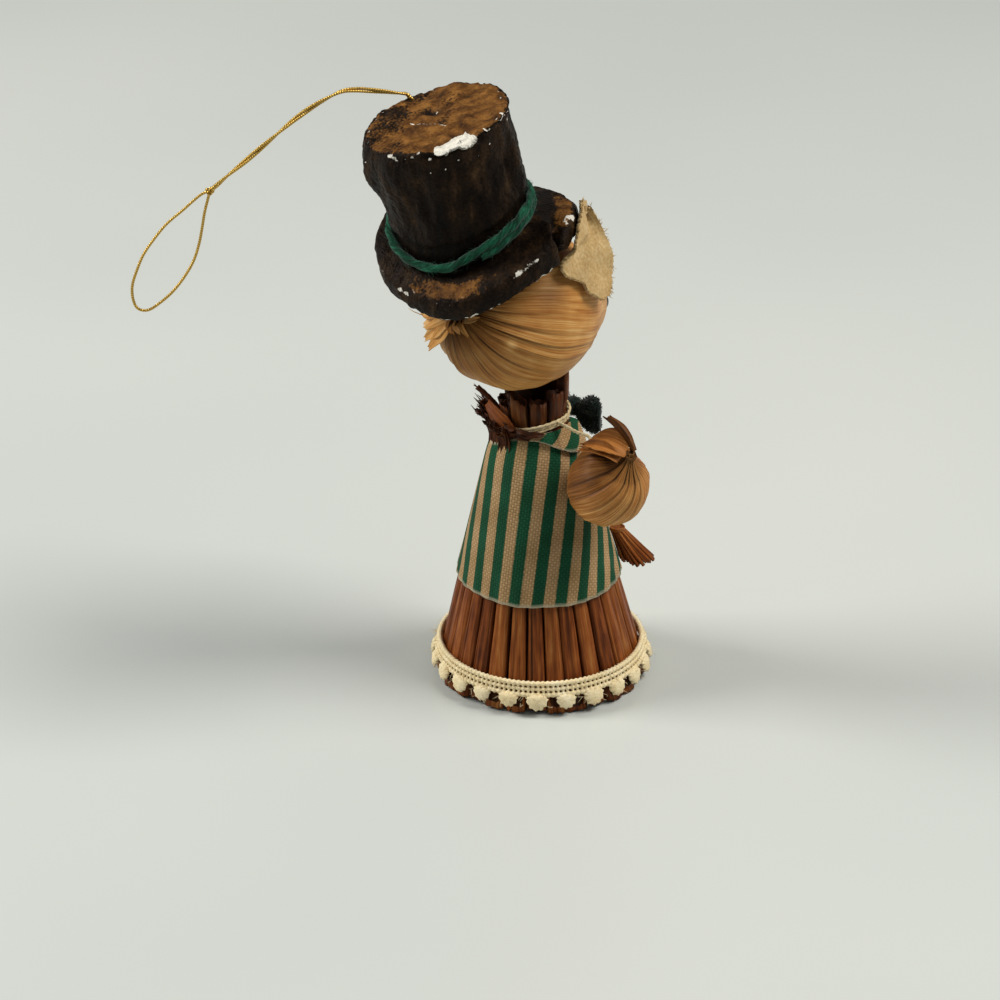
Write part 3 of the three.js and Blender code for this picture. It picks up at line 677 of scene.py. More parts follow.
def on_hanger(run_and_rise):
    """A place on the thread's upright plane, from its distance and height past the hinge."""
    run, rise = np.array(run_and_rise, float) - stem_route[0]
    return hinge_place + np.array([run * math.cos(hanger_plane), run * math.sin(hanger_plane), rise])


stem_path = smooth_path([on_hanger(place) for place in stem_route], 150)
loop_path = smooth_path([on_hanger(place) for place in [knot_place, *loop_route, knot_place]], 220)

# %% Thread pieces
stem_lay = 19.0
knot_size = 0.17
stem = Shape()
stem_across, stem_up = rail(stem_path)
stem_turn = (TURN * path_lengths(stem_path) / stem_lay)[:, None]
for side in (0, math.pi):
    swing = (stem_across * np.cos(stem_turn + side) + stem_up * np.sin(stem_turn + side))
    add_tube(stem, stem_path + swing * strand_diameter / 2, strand_diameter / 2, sides=8)
hanger_stem = make_piece(stem, "gold_stem", gold_finish, "hanger_stem")

loop = Shape()
add_tube(loop, loop_path, strand_diameter / 2, sides=8)
hanger_loop = make_piece(loop, "gold_loop", gold_finish, "hanger_loop")

knot = Shape()
knot_turn = np.linspace(0, TURN, 90)
knot_curve = knot_size * np.stack([
    np.sin(knot_turn) + 2 * np.sin(2 * knot_turn),
    np.cos(knot_turn) - 2 * np.cos(2 * knot_turn),
    -1.6 * np.sin(3 * knot_turn)], -1)
knot_axes = np.array([[math.cos(hanger_plane), math.sin(hanger_plane), 0], [0, 0, 1],
                      [-math.sin(hanger_plane), math.cos(hanger_plane), 0]])
add_tube(knot, on_hanger(knot_place) + knot_curve @ knot_axes, strand_diameter / 2, sides=8)
knot_lead = smooth_path([stem_path[-4], stem_path[-1], on_hanger(knot_place)], 16)
add_tube(knot, knot_lead, strand_diameter * 0.8, sides=12, plies=2, ply_depth=0.35, lay=4.0)
hanger_knot = make_piece(knot, "gold_knot", gold_finish, "hanger_knot")

# %% [markdown]
# Where the thread comes out of the foam a drop of glue holds it. The drop and the short end of thread in it
# stay with the hat, and the stem swings from there. Made as one piece with the stem, they would swing along.

# %% Thread root
root_slope = np.array([-0.65, -0.65, -0.9])
drop_radius = 0.55
root = Shape()
root_path = smooth_path([hinge_place + share * root_slope for share in (1.9, 0.8, 0.0)], 16)
add_tube(root, root_path, strand_diameter * 0.75, sides=12, plies=2, ply_depth=0.3, lay=1.6)
drop_path = smooth_path([hinge_place + share * root_slope for share in (1.9, 1.5, 1.0)], 12)
add_tube(root, drop_path, drop_radius * np.sqrt(np.linspace(1, 0.12, 12)), sides=16)
make_piece(root, "thread_root", gold_finish, body="figure")

# %% [markdown]
# Thirty flattened straws stand around a core. Every third one runs up through the neck, the others stop
# under the smock. Cylinders would look like rods, so each straw is a squashed tube of its own: its ring has
# shallow ribs that run the whole length, a crease or two where it was pressed flat, and a hollow, torn end.

# %% Cone sizes
skirt_radius = 15.0
neck_radius = 5.1
neck_height = 39.5
neck_lean = 0.84
straw_count = 30
long_straw_count = 10
straw_depth = 1.8
straw_gap = 0.3
tie_height = 39.4
tie_pinch = 0.75
tie_spread = (3.0, 1.9)
short_straw_top = 18.0
head_radius = 11.9
head_rise = 5.2
head_centre = np.array([2.6, 2.6, neck_height + head_rise + head_radius])


def skirt_outer(z):
    return skirt_radius - (skirt_radius - neck_radius) * np.minimum(z, neck_height) / neck_height


def pinched(z):
    """How far the tie draws the straws in at a height."""
    return tie_pinch * bell(z, tie_height, np.where(z < tie_height, *tie_spread))


def leaned(points):
    """The cone leans a little to its left and back, in proportion to the height."""
    points = np.array(points, float)
    points[..., :2] += neck_lean * points[..., 2:] / neck_height
    return points


def is_long(index):
    return index % (straw_count // long_straw_count) == 0


def straw_width(z, long):
    ring = skirt_outer(np.minimum(z, short_straw_top)) - straw_depth / 2
    narrow = TURN * ring / straw_count - straw_gap
    if not long:
        return narrow
    neck_width = TURN * (neck_radius - straw_depth / 2) / long_straw_count - straw_gap
    return lerp(narrow, neck_width, np.clip((z - short_straw_top) / (neck_height - short_straw_top), 0, 1))


def head_underside(points):
    """Height of the head's lower side over points beneath it."""
    off = np.asarray(points)[..., :2] - head_centre[:2]
    return head_centre[2] - np.sqrt(np.clip(head_radius ** 2 - (off ** 2).sum(-1), 0, None))


print(f"cone: {2 * skirt_radius:.0f} mm across, neck at {neck_height} mm, head centre {head_centre.round(1)}")

# %% One straw
straw_sides = 40
straw_rows = 26
foot_hollow = 2.0
top_hollow = 0.9


def straw_ribs(around, rng):
    """Shallow ribs around a straw, and one to three deeper creases."""
    ribs = draws(rng, straw_sides, -0.06, 0.06)
    for _ in range(rng.choice((1, 2, 2, 3))):
        crease = rng.uniform(0.12, 0.88) * math.pi
        ribs -= rng.uniform(0.1, 0.24) * bell(around, crease, 0.1)
    return ribs


def add_straw(shape, index, foot, top, rng, slant=0.0, meets_head=False):
    """A flattened straw from foot to top. The upper cut slants across by a height."""
    angle = TURN * index / straw_count + rng.uniform(-0.014, 0.014)
    heights = np.linspace(foot, top, straw_rows)
    around = full_turn(straw_sides)
    ribs = straw_ribs(around, rng)
    places = np.meshgrid(heights, around * 2, indexing="ij")
    drift = wobble(np.stack([*places, np.full((straw_rows, straw_sides), index)], -1), 6.0)
    swell = 1 + ribs[None, :] + 0.06 * drift
    wide = straw_width(heights, is_long(index))[:, None] * rng.uniform(1.03, 1.15) / 2
    deep = straw_depth / 2 * rng.uniform(0.86, 1.05)
    flatness = rng.uniform(0.42, 0.62)
    sideways = wide * (1 + 0.06 * drift) * np.sign(np.cos(around)) * np.abs(np.cos(around)) ** 0.7
    outward = deep * swell * np.sign(np.sin(around)) * np.abs(np.sin(around)) ** flatness
    ring = (skirt_outer(heights) - pinched(heights))[:, None] - straw_depth / 2 + outward
    torn = np.zeros((straw_rows, straw_sides))
    torn[0] = draws(rng, straw_sides, 0, 0.5)
    torn[-1] = -draws(rng, straw_sides, 0, 0.4)
    share = np.linspace(0, 1, straw_rows)[:, None]
    radial = np.array([math.cos(angle), math.sin(angle), 0])
    tangent = np.array([-math.sin(angle), math.cos(angle), 0])
    points = ring[..., None] * radial + sideways[..., None] * tangent
    points[..., 2] = heights[:, None] + torn - slant * (0.5 + 0.5 * np.cos(around)) * share ** 4
    if meets_head:
        touch = head_underside(leaned(points[-1])) - rng.uniform(-0.1, 0.25)
        points[..., 2] += (touch - points[-1, :, 2]) * share ** 6
    foot_middle, top_middle = points[0].mean(0), points[-1].mean(0)
    foot_edge = foot_middle + (points[0] - foot_middle) * 0.72
    top_edge = top_middle + (points[-1] - top_middle) * 0.7
    rows = np.stack([foot_edge + (0, 0, foot_hollow), foot_edge, *points, top_edge,
                     top_edge - (0, 0, top_hollow)])
    along = np.concatenate([[foot] * 2, heights, [top] * 2])
    grain = np.stack(np.broadcast_arrays(
        np.cos(around) * 1.3 + index * 3.7, np.sin(around) * 0.9 + index * 1.9, along[:, None]), -1)
    # Painted shade inside the hollow ends, in the creases, along the edges where straws meet, and up the neck
    # under the head.
    shade = np.full(rows.shape[:2], 0.85)
    shade[2:-2] = np.clip(-ribs * 2.6, 0, 0.6) + 0.45 * np.abs(np.cos(around)) ** 14
    shade[2:-2] += (0.8 * smooth_step(heights, 36.5, 41))[:, None] * rng.uniform(0.65, 1.15)
    shape.add(leaned(rows), closed_faces(len(rows), straw_sides), grain=grain,
              shade=np.clip(shade, 0, 0.9), tint=rng.uniform(-0.3, 0.35))


print("one straw:", straw_sides * (straw_rows + 4), "points")

# %% [markdown]
# Two of the long straws broke at the top of the smock. Their flat splinters fold out over the twine to the
# left of the neck, one stick stands up beside the head, and short fibres lie along the edge of the cloth.
# Cutting the straws open would not give such thin pieces, so they are strips and hairs that belong to those
# two straws.

# %% Broken straw
def neck_place(radius, degrees, z):
    return leaned(polar(radius, math.radians(degrees), z))


def add_splinters(shape, rng, count, first, last, reach, rise):
    """Ragged flat splinters that start under the smock's edge between two angles and fan out."""
    for index in range(count):
        degrees = lerp(first, last, (index + rng.uniform(0.2, 0.8)) / count)
        turn = rng.uniform(-14, 14)
        far = rng.uniform(*reach)
        high = rng.uniform(*rise)
        width = rng.uniform(1.0, 1.9)
        spine = [neck_place(6.0, degrees, 35.4), neck_place(5.9, degrees + turn * 0.2, 37.4),
                 neck_place(lerp(5.8, far, 0.4), degrees + turn * 0.5, lerp(38.2, high, 0.5)),
                 neck_place(far, degrees + turn, high)]
        outward = polar(1.0, math.radians(degrees), 0.7)
        dark = rng.uniform(0.45, 0.75)
        add_strip(shape, spine, [width, width, width * 1.1, width * 0.7], rng.uniform(0.2, 0.6), outward, rng,
                  rows=20, columns=9, thickness=0.3, tint=rng.uniform(-0.4, 0.1), shade=dark)
        for _ in range(int(6 * width)):
            root = lerp(spine[2], spine[3], rng.uniform(0.2, 0.95))
            root = root + polar(1.0, math.radians(degrees + 90), 0.0) * rng.uniform(-0.45, 0.45) * width
            add_hair(shape, root, spine[3] - spine[2], rng.uniform(0.6, 1.7), 0.11, 0.3, rng,
                     tint=-0.3, shade=dark)


def add_stick(shape, rng):
    """A thin stick of straw that stands out beside the head."""
    route = [neck_place(4.9, 62, 41.2), neck_place(6.4, 52, 42.9), neck_place(7.8, 47, 44.1)]
    stick = smooth_path(route, 14)
    add_tube(shape, stick, 0.4 + 0.03 * np.sin(np.arange(14) * 2.1), sides=7, tint=-0.3, shade=0.62)
    for _ in range(4):
        add_hair(shape, stick[-1], stick[-1] - stick[-3], rng.uniform(0.3, 0.6), 0.12, 0.3, rng,
                 tint=-0.3, shade=0.6)


def add_flat_blade(shape, rng):
    """A broad reddish blade that lies slantwise across the neck."""
    spine = [neck_place(6.5, 56, 42.2), neck_place(6.1, 72, 41.4), neck_place(5.8, 92, 40.4),
             neck_place(5.5, 106, 39.2)]
    add_strip(shape, spine, [1.1, 2.0, 2.3, 1.0], 0.35, polar(1.0, math.radians(80), 0.3), rng,
              rows=24, columns=11, thickness=0.3, tint=0.05, shade=0.22)


def add_edge_fibres(shape, rng):
    """Short dark fibres that lie along the top edge of the cloth and over the twine."""
    for index in range(20):
        share = index % 13 / 12
        degrees = lerp(52, 126, share) + rng.uniform(-4, 4)
        z = lerp(38.2, 39.5, share) + rng.uniform(-0.3, 0.5) + 0.6 * (index // 13)
        length = rng.uniform(12, 24)
        spine = [neck_place(5.75, degrees, z),
                 neck_place(5.95, degrees + length / 2, z + rng.uniform(-0.2, 0.3)),
                 neck_place(5.85, degrees + length, z + rng.uniform(-0.4, 0.3))]
        outward = polar(1.0, math.radians(degrees + length / 2), 0.3)
        add_strip(shape, spine, [0.8, rng.uniform(0.7, 1.2), 0.4], 0.4, outward, rng, rows=12, columns=7,
                  thickness=0.25, tint=rng.uniform(-0.4, 0.0), shade=rng.uniform(0.5, 0.8))


# %% [markdown]
# Of the other long straws, some are cut short of the head and show their hollow ends, and the rest run up to
# the head and follow its underside. A loop makes all thirty, each with its own random numbers, so a change
# to one straw leaves the others as they are.

# %% All the straws
splayed = (3, 6)
splayed_top = 42.4
neck_cuts = {9: (44.9, 1.6), 12: (43.9, 0.2), 15: (45.2, 0.6)}
for index in range(straw_count):
    node = f"{'long' if is_long(index) else 'short'}_straw_{index + 1:02d}"
    low, high, _ = solid_box(node)
    rng = random.Random(100 + index)
    shape = Shape()
    top, slant = neck_cuts.get(index, (splayed_top if index in splayed else high[2] - 0.1, 0.0))
    meets_head = is_long(index) and index not in splayed and index not in neck_cuts
    add_straw(shape, index, low[2], top, rng, slant, meets_head)
    if index == splayed[0]:
        add_splinters(shape, rng, 7, 8, 56, (6.8, 8.0), (39.8, 41.6))
        add_stick(shape, rng)
    if index == splayed[1]:
        add_splinters(shape, rng, 7, 50, 96, (6.2, 7.4), (39.4, 41.0))
        add_flat_blade(shape, rng)
        add_edge_fibres(shape, rng)
    make_piece(shape, f"straw_{index + 1:02d}", straw_finish, node)

# %% [markdown]
# The cone inside the straws, the peg in the neck and the balls inside the head and the sack hardly show. New
# pieces would add nothing, so their measured solids stay as they are and only take a finish.

# %% Core finishes
for node, finish in (("body_cone", core_finish), ("neck_peg", wood_finish), ("head_ball", foam_finish),
                     ("sack_ball", foam_finish)):
    frame["nodes"][node].data.materials.clear()
    frame["nodes"][node].data.materials.append(finish)
    print(f"{node}: {finish.name}")

# %% [markdown]
# The smock is one piece of striped cotton, wrapped around the straw. Unrolled, a cone is a fan, so a point
# keeps two places: on the figure, and in the flat cloth, which carries the straight stripes. A cloth
# simulation would need pins and time, and the real cotton is glued down tight.

# %% Smock sheet
cloth_thickness = 0.3
smock_hem = 15.4
smock_seam = math.radians(-20)
smock_lap = math.radians(24)
smock_rise = math.radians(22)
smock_stand = 0.36
smock_top = 39.0
neck_dip = 2.7
neck_dip_angle = math.radians(20)
stripe_straw = math.radians(102)
stripe_shift = 0.6
cone_sine = math.sin(math.atan((skirt_radius - neck_radius) / neck_height))


def flat_cloth(radius, angle):
    """Where a point of the cone lies in the flat cloth, with the stripes along Y."""
    slant = radius / cone_sine
    fan = (angle - stripe_straw) * cone_sine
    return np.stack([slant * np.sin(fan) + stripe_shift, -slant * np.cos(fan), 0 * slant], -1)


def smock_points(angle, z, offset):
    lap = 0.6 * smooth_step(angle - smock_seam, TURN - smock_rise, TURN)
    straws = 0.07 * np.cos(straw_count * angle) * smooth_step(z, 22, 15)
    wave = 0.16 * np.sin(3 * angle + 1.0) * smooth_step(z, 24, 15) + 0.08 * np.sin(7 * angle)
    stand = smock_stand + lap + straws + wave.clip(-0.05) - pinched(z) + offset
    return leaned(polar(skirt_outer(z) + stand, angle, z))


def sheet_shape(outer, inner, grain, shade):
    """A thin cloth from its two faces, which share the grain and the shade."""
    rows, columns = shade.shape
    faces, _ = sheet_faces(rows, columns)
    return Shape().add(np.stack([outer, inner]), faces, grain=np.stack([grain, grain]),
                       shade=np.stack([shade, shade]))


def make_smock():
    columns, rows = 340, 44
    angle, share = np.meshgrid(np.linspace(smock_seam, smock_seam + TURN + smock_lap, columns),
                               np.linspace(0, 1, rows), indexing="xy")
    uneven = wobble(polar(14.0, angle[0], 0), 4.0, 2) * 0.2
    dip = neck_dip * smooth_step(np.cos(angle - neck_dip_angle), -0.35, 0.95)
    z = lerp(smock_hem + uneven[None, :], smock_top - dip + 0.12 * np.sin(5 * angle), share)
    cut_edge = 0.7 * (1 - smooth_step(share, 0, 0.01)) + 0.6 * smooth_step(share, 0.985, 1.0)
    outer, inner = (smock_points(angle, z, side * cloth_thickness / 2) for side in (1, -1))
    return sheet_shape(outer, inner, flat_cloth(skirt_outer(z), angle), cut_edge)


smock = make_piece(make_smock(), "striped_smock", smock_finish, "smock")

# %% [markdown]

# %% [markdown]
# The top edge of the cloth is turned over at the side where the sack hangs. Folding the sheet itself would
# crowd its grid at the fold, so the turned edge is a small flap of its own, with its stripes running askew,
# as they do on the real collar.

# %% Collar flap
flap_first = math.radians(98)
flap_last = math.radians(230)
flap_drop = (0.75, 3.3)


def make_collar_flap():
    columns, rows = 60, 12
    along, down = np.meshgrid(np.linspace(0, 1, columns), np.linspace(0, 1, rows), indexing="xy")
    angle = lerp(flap_first, flap_last, along)
    drop = lerp(*flap_drop, smooth_step(along, 0.28, 0.75)) * smooth_step(along, 1.04, 0.9)
    swing = 0.1 + (0.2 + 0.6 * along) * np.sin(math.pi * down * 0.5)
    z = smock_top + 0.15 - drop * down
    flat = np.stack([drop * down * 0.9 + along * 7.0, along * 10.0 - drop * down, 0 * along], -1)
    radius = skirt_outer(z) - pinched(z) + smock_stand + cloth_thickness + swing
    cut_edge = 0.8 * smooth_step(down, 0.86, 1.0)
    return sheet_shape(leaned(polar(radius - cloth_thickness, angle, z)), leaned(polar(radius, angle, z)),
                       flat, cut_edge)


make_piece(make_collar_flap(), "collar_flap", smock_finish, body="figure")

# %% [markdown]
# A strip of cotton lace runs around the straw ends: three cords with two rows of eyelets between them, and a
# row of puffed scallops below. A band with a transparent pattern would be lighter, but its holes would
# vanish from the side. Here the cords and bars are tubes, so the eyelets are real holes.

# %% Lace trim
lace_cords = (4.75, 4.0, 3.2)
cord_radii = (0.36, 0.28, 0.34)
cord_steps = 529
lace_bars = 132
bar_radius = 0.2
lace_scallops = 23
scallop_height = 2.75
lace_stand = 0.55
lace_hairs = 420


def on_lace(angle, z, off=0.0):
    return leaned(polar(skirt_outer(z) + lace_stand + off, angle, z))


def add_scallop(shape, angle, rng):
    """A puffed pad of loops below the lowest cord."""
    rows, columns = 14, 30
    from_front = np.linspace(0.02, math.pi - 0.02, rows)
    from_front, around = np.meshgrid(from_front, full_turn(columns), indexing="ij")
    loops = 1 + 0.09 * np.cos(11 * around) * np.sin(from_front) ** 2
    size = rng.uniform(0.92, 1.08)
    across = 1.42 * size * loops * np.sin(from_front) * np.cos(around)
    rise = 1.5 * size * loops * np.sin(from_front) * np.sin(around)
    puff = 0.5 * np.cos(from_front)
    z = scallop_height + np.where(rise > 0, 0.45, 1.0) * rise + rng.uniform(-0.08, 0.08)
    points = polar(skirt_outer(z) + lace_stand + 0.28 + puff, angle + across / skirt_radius, z)
    points = points + 0.1 * wobble(points, 0.5, 4)[..., None] * polar(1.0, angle, 0)
    # Painted shade in the gaps between the loops.
    shade = 0.14 * (np.cos(11 * around) < -0.6) * np.sin(from_front) ** 2
    faces = [face[::-1] for face in closed_faces(rows, columns)]
    shape.add(leaned(points), faces, grain=points, shade=shade)


def make_lace():
    rng = random.Random(5)
    shape = Shape()
    around = np.linspace(0, TURN, cord_steps)
    for z, radius in zip(lace_cords, cord_radii):
        add_tube(shape, on_lace(around, z), radius * (1 + 0.22 * np.cos(lace_bars * around)), sides=8)
    for upper, lower in zip(lace_cords, lace_cords[1:]):
        for bar in range(lace_bars):
            angle = TURN * (bar + rng.uniform(-0.12, 0.12)) / lace_bars
            path = [on_lace(angle, z, 0.05) for z in np.linspace(upper, lower, 5)]
            add_tube(shape, path, bar_radius * np.array([1.3, 1.0, 0.85, 1.0, 1.3]), sides=6)
    for scallop in range(lace_scallops):
        add_scallop(shape, TURN * (scallop + 0.5) / lace_scallops, rng)
    for _ in range(lace_hairs):
        angle = rng.uniform(0, TURN)
        root = on_lace(angle, rng.uniform(1.4, 5.0), 0.3)
        out = polar(1.0, angle, 0) + np.array([rng.uniform(-1, 1), rng.uniform(-1, 1), rng.uniform(-1, 0.8)])
        add_hair(shape, root, out, rng.uniform(0.5, 1.1), 0.035, 0.4, rng)
    return shape


make_piece(make_lace(), "lace_edge", lace_finish, "lace_trim")

# %% [markdown]
# Cream twine of two plies ties the straws and the top of the smock together. Two thin tubes could wind
# around one another, but at this size lobes of one tube's section that turn along it look the same and never
# cut into each other.

# %% Twine
twine_diameter = 0.5
twine_turns = 2.7
twine_start = math.radians(112)
twine_low = 39.55
twine_pitch = 0.5
twine_sag = 1.1
twine_sag_angle = math.radians(92)
twine_hairs = 60


def make_twine():
    rng = random.Random(11)
    angle = np.linspace(0, TURN * twine_turns, 640)
    height = twine_low + twine_pitch * angle / TURN + 0.12 * np.sin(angle * 1.3)
    height = height - twine_sag * np.cos(twine_start + angle - twine_sag_angle).clip(0) ** 2
    radius = skirt_outer(height) - pinched(height) + 0.1 + twine_diameter / 2
    path = leaned(polar(radius, twine_start + angle, height))
    shape = Shape()
    add_tube(shape, path, twine_diameter * 0.48, sides=12, plies=2, ply_depth=0.4, lay=1.9)
    for _ in range(twine_hairs):
        at = rng.randrange(len(path) - 1)
        out = np.array([rng.uniform(-1, 1), rng.uniform(-1, 1), rng.uniform(-0.6, 1)])
        root = path[at] + 0.25 * unit(out)
        add_hair(shape, root, out, rng.uniform(0.3, 0.6), 0.025, 0.4, rng)
    return shape


make_piece(make_twine(), "neck_twine_lay", twine_finish, "neck_twine")

# %% [markdown]
# The bow tie is two dark velvet loops and a knot, held to the neck by a short ribbon. A loop is a folded
# ribbon, so it is a pillow that is pinched at the knot, with a crease along it. Velvet could be a hair
# system, but a few hundred short fibres around each part give the same soft outline and stay plain geometry.

# %% Bow
bow_knot_size = (2.2, 2.4, 2.8)
bow_loop_length = 4.2
bow_loop_height = 5.8
bow_loop_root = 2.0
bow_ribbon_back = 3.0
bow_ribbon_radius = 0.95
loop_grid = (22, 32)
knot_grid = (14, 28)
loop_fibres = 650
knot_fibres = 220


def add_pillow(shape, grid, centre_line):
    """A closed pillow. centre_line gives a centre, a half height and a half thickness at each share."""
    rows, columns = grid
    around = full_turn(columns)
    crease = 1 - 0.45 * bell(np.abs(np.cos(around)), 0, 0.25)
    rings = []
    for share in np.linspace(0, 1, rows):
        centre, height, thick = centre_line(share)
        ring = np.stack([0 * around, thick * crease * np.sin(around), height * np.cos(around)], -1)
        rings.append(np.asarray(centre) + ring)
    points = np.array(rings)
    points = points + 0.12 * wobble(points, 0.9, 6)[..., None] * np.array([0.4, 1, 0.7])
    shape.add(points, closed_faces(rows, columns), grain=points, shade=0.0)
    return points


def make_bow_loop(node, side):
    rng = random.Random(21 + side)
    low, high, middle = solid_box(node)
    root_x = high[0] if side < 0 else low[0]
    shape = Shape()

    def line(share):
        height = lerp(bow_loop_root, bow_loop_height, math.sin(share * 2)) / 2 * (1 - 0.35 * share ** 6)
        thick = 0.5 + 1.15 * math.sin(math.pi * min(share * 1.05, 1)) ** 0.7
        forward = 0.2 * math.sin(math.pi * share)
        return (root_x + side * share * bow_loop_length, middle[1] - forward, middle[2]), height, thick

    points = add_pillow(shape, loop_grid, line)
    centre = points.reshape(-1, 3).mean(0)
    for _ in range(loop_fibres):
        root = points[rng.randrange(loop_grid[0]), rng.randrange(loop_grid[1])]
        out = (root - centre) + draws(rng, 3)
        add_hair(shape, root, out, rng.uniform(0.12, 0.3), 0.07, 0.5, rng)
    make_piece(shape, f"velvet_{node}", velvet_finish, node)


def make_bow_knot():
    rng = random.Random(31)
    middle = solid_box("bow_knot")[2]
    width, depth, tall = bow_knot_size
    shape = Shape()

    def line(share):
        full = math.sin(math.pi * (0.12 + 0.76 * share)) ** 0.6
        return (middle[0] + (share - 0.5) * width, middle[1], middle[2]), tall / 2 * full, depth / 2 * full

    points = add_pillow(shape, knot_grid, line)
    ribbon = [middle, middle + (0, 1.2, 0.1), middle + (0, bow_ribbon_back, 0.3)]
    add_tube(shape, smooth_path(ribbon, 14), bow_ribbon_radius, sides=18, shade=0.0)
    for _ in range(knot_fibres):
        root = points[rng.randrange(knot_grid[0]), rng.randrange(knot_grid[1])]
        add_hair(shape, root, root - middle, rng.uniform(0.12, 0.3), 0.06, 0.4, rng)
    make_piece(shape, "velvet_bow_knot", velvet_finish, "bow_knot")


make_bow_loop("bow_loop_right", -1)
make_bow_loop("bow_loop_left", 1)
make_bow_knot()

# %% [markdown]
# The head is a ball with a short snout in a wrap of damp husk, which is gathered at its back under the hat
# and dries in pleats. Sculpting every pleat would take long, so each is a small step in the radius, deep at
# the gather and fading towards the face, and its foot gets a painted shade.

# %% Head surface
gather_rise = math.radians(17)
gather_hole = math.asin(2.0 / head_radius)
gather_depth = 2.4
husk_thickness = 0.7
snout_length = 4.5
snout_spread = math.radians(26)
gather_axis = np.array([0, math.cos(gather_rise), math.sin(gather_rise)])
head_across = np.array([1.0, 0, 0])
head_up = np.cross(gather_axis, head_across)


def on_head(from_gather, around, lift=0.0):
    """A place on the head by its angle from the gather and around the gather's axis."""
    from_gather, around = np.asarray(from_gather, float), np.asarray(around, float)
    radius = head_radius + snout_length * bell(math.pi - from_gather, 0, snout_spread) + lift
    ring = np.cos(around)[..., None] * head_across + np.sin(around)[..., None] * head_up
    flat = np.sin(from_gather)[..., None] * ring + np.cos(from_gather)[..., None] * gather_axis
    return head_centre + radius[..., None] * flat


def pleats(around, from_start, lines, reach, depth):
    """Height and groove of overlapping pleats that start at lines around an axis and fade with distance."""
    around = np.mod(around, TURN)
    height = np.zeros(around.shape)
    groove = np.zeros(around.shape)
    for start, end, far, deep in zip(lines, [*lines[1:], lines[0] + TURN], reach, depth):
        share = np.mod(around - start, TURN) / (end - start)
        inside = share < 1
        fade = deep * np.exp(-from_start / far)
        height += np.where(inside, fade * (1 - share).clip(0) ** 1.5 * smooth_step(share, 0, 0.14), 0)
        groove += np.where(inside, fade * bell(np.minimum(share, 1 - share), 0, 0.13), 0)
    return height, groove


def pleat_lines(count, rng, reach, depth):
    lines = sorted(TURN * (index + rng.uniform(-0.36, 0.36)) / count % TURN for index in range(count))
    return lines, [rng.uniform(*reach) for _ in lines], [rng.uniform(*depth) for _ in lines]


# %% [markdown]
# At the gather the ends of the husk stick out: short ones all round, and longer golden ones that stand out
# to the left. Low on the right cheek the husk tore, which leaves a dark ragged line. Both are too fine for
# the pleats' grid, so the ends are strips, and the tear is only painted.

# %% Husk ends and tear
short_ends = 14
long_ends = 7


def add_gather_ends(shape, rng):
    for end in range(short_ends):
        turn = TURN * (end + rng.uniform(-0.3, 0.3)) / short_ends
        swing = rng.uniform(-0.3, 0.3)
        spine = [on_head(gather_hole * 0.8, turn, -0.6),
                 on_head(gather_hole * rng.uniform(1.2, 1.5), turn, rng.uniform(0.3, 0.8)),
                 on_head(gather_hole * rng.uniform(1.5, 2.2), turn + swing, rng.uniform(0.5, 1.4))]
        add_strip(shape, spine, [0.8, rng.uniform(0.9, 1.6), 0.5], 0.5, gather_axis, rng, rows=10, columns=7,
                  tint=rng.uniform(-0.1, 0.4), shade=rng.uniform(0, 0.25))
    for end in range(long_ends):
        turn = math.radians(lerp(5, 62, end / (long_ends - 1)) + rng.uniform(-5, 5))
        far = math.radians(rng.uniform(30, 44))
        spine = [on_head(gather_hole, turn + 0.3, -0.2),
                 on_head(far * 0.6, turn + 0.1, rng.uniform(0.5, 1.0)),
                 on_head(far, turn, rng.uniform(1.0, 2.6))]
        add_strip(shape, spine, [1.2, rng.uniform(1.5, 2.4), 0.6], rng.uniform(-0.6, 0.8), gather_axis, rng,
                  rows=16, columns=9, tint=rng.uniform(0.1, 0.6), shade=rng.uniform(0, 0.12))
    add_hair(shape, on_head(0.62, 0.5, 0.6), (0.75, 0.62, 0.1), 3.2, 0.09, 0.2, rng, tint=0.5)


def torn_edge(from_gather, around, rough):
    """How near a point is to the tear, from 0 to 1."""
    down = (170 - np.degrees(around)) / 23
    line = lerp(124, 115, down) + 1.6 * rough
    near = bell(np.degrees(from_gather), line, 0.9)
    return near * smooth_step(down, -0.1, 0.08) * smooth_step(down, 1.1, 0.9)


# %% Head wrap
head_rows = 150
head_columns = 720
hollow_rows = 7
# A painted shadow of the brim and the right ear, on the head's upper right.
brim_shadow_place = (66, 207)
brim_shadow_size = (15, 14)
worn_place = (46, 159)
worn_size = (4, 6)


def spot_on_head(from_gather, around, place, size):
    """A soft round spot around a place that is given in degrees."""
    return bell(np.degrees(from_gather), place[0], size[0]) * bell(np.degrees(around), place[1], size[1])


def head_shade(from_gather, around, start, left, main_groove, small_groove):
    """Painted shade in the grooves and in the gather, a painted shadow below the brim, and darker toward the
    gather at the lower left.
    """
    shade = np.clip(2.3 * main_groove + 1.9 * small_groove, 0, 0.95)
    shade = shade * (0.35 + 0.65 * np.exp(-start / (50 * left)))
    shade = shade + (0.45 + 0.32 * np.cos(around - math.radians(68))) * np.exp(-start / (22 * left))
    shade = shade + 0.55 * spot_on_head(from_gather, around, brim_shadow_place, brim_shadow_size)
    shade = shade + 0.24 * smooth_step(np.cos(around - math.radians(64)), 0.35, 0.95) * np.exp(-start / 55)
    return shade + 0.9 * smooth_step(from_gather, gather_hole, gather_hole * 0.7)


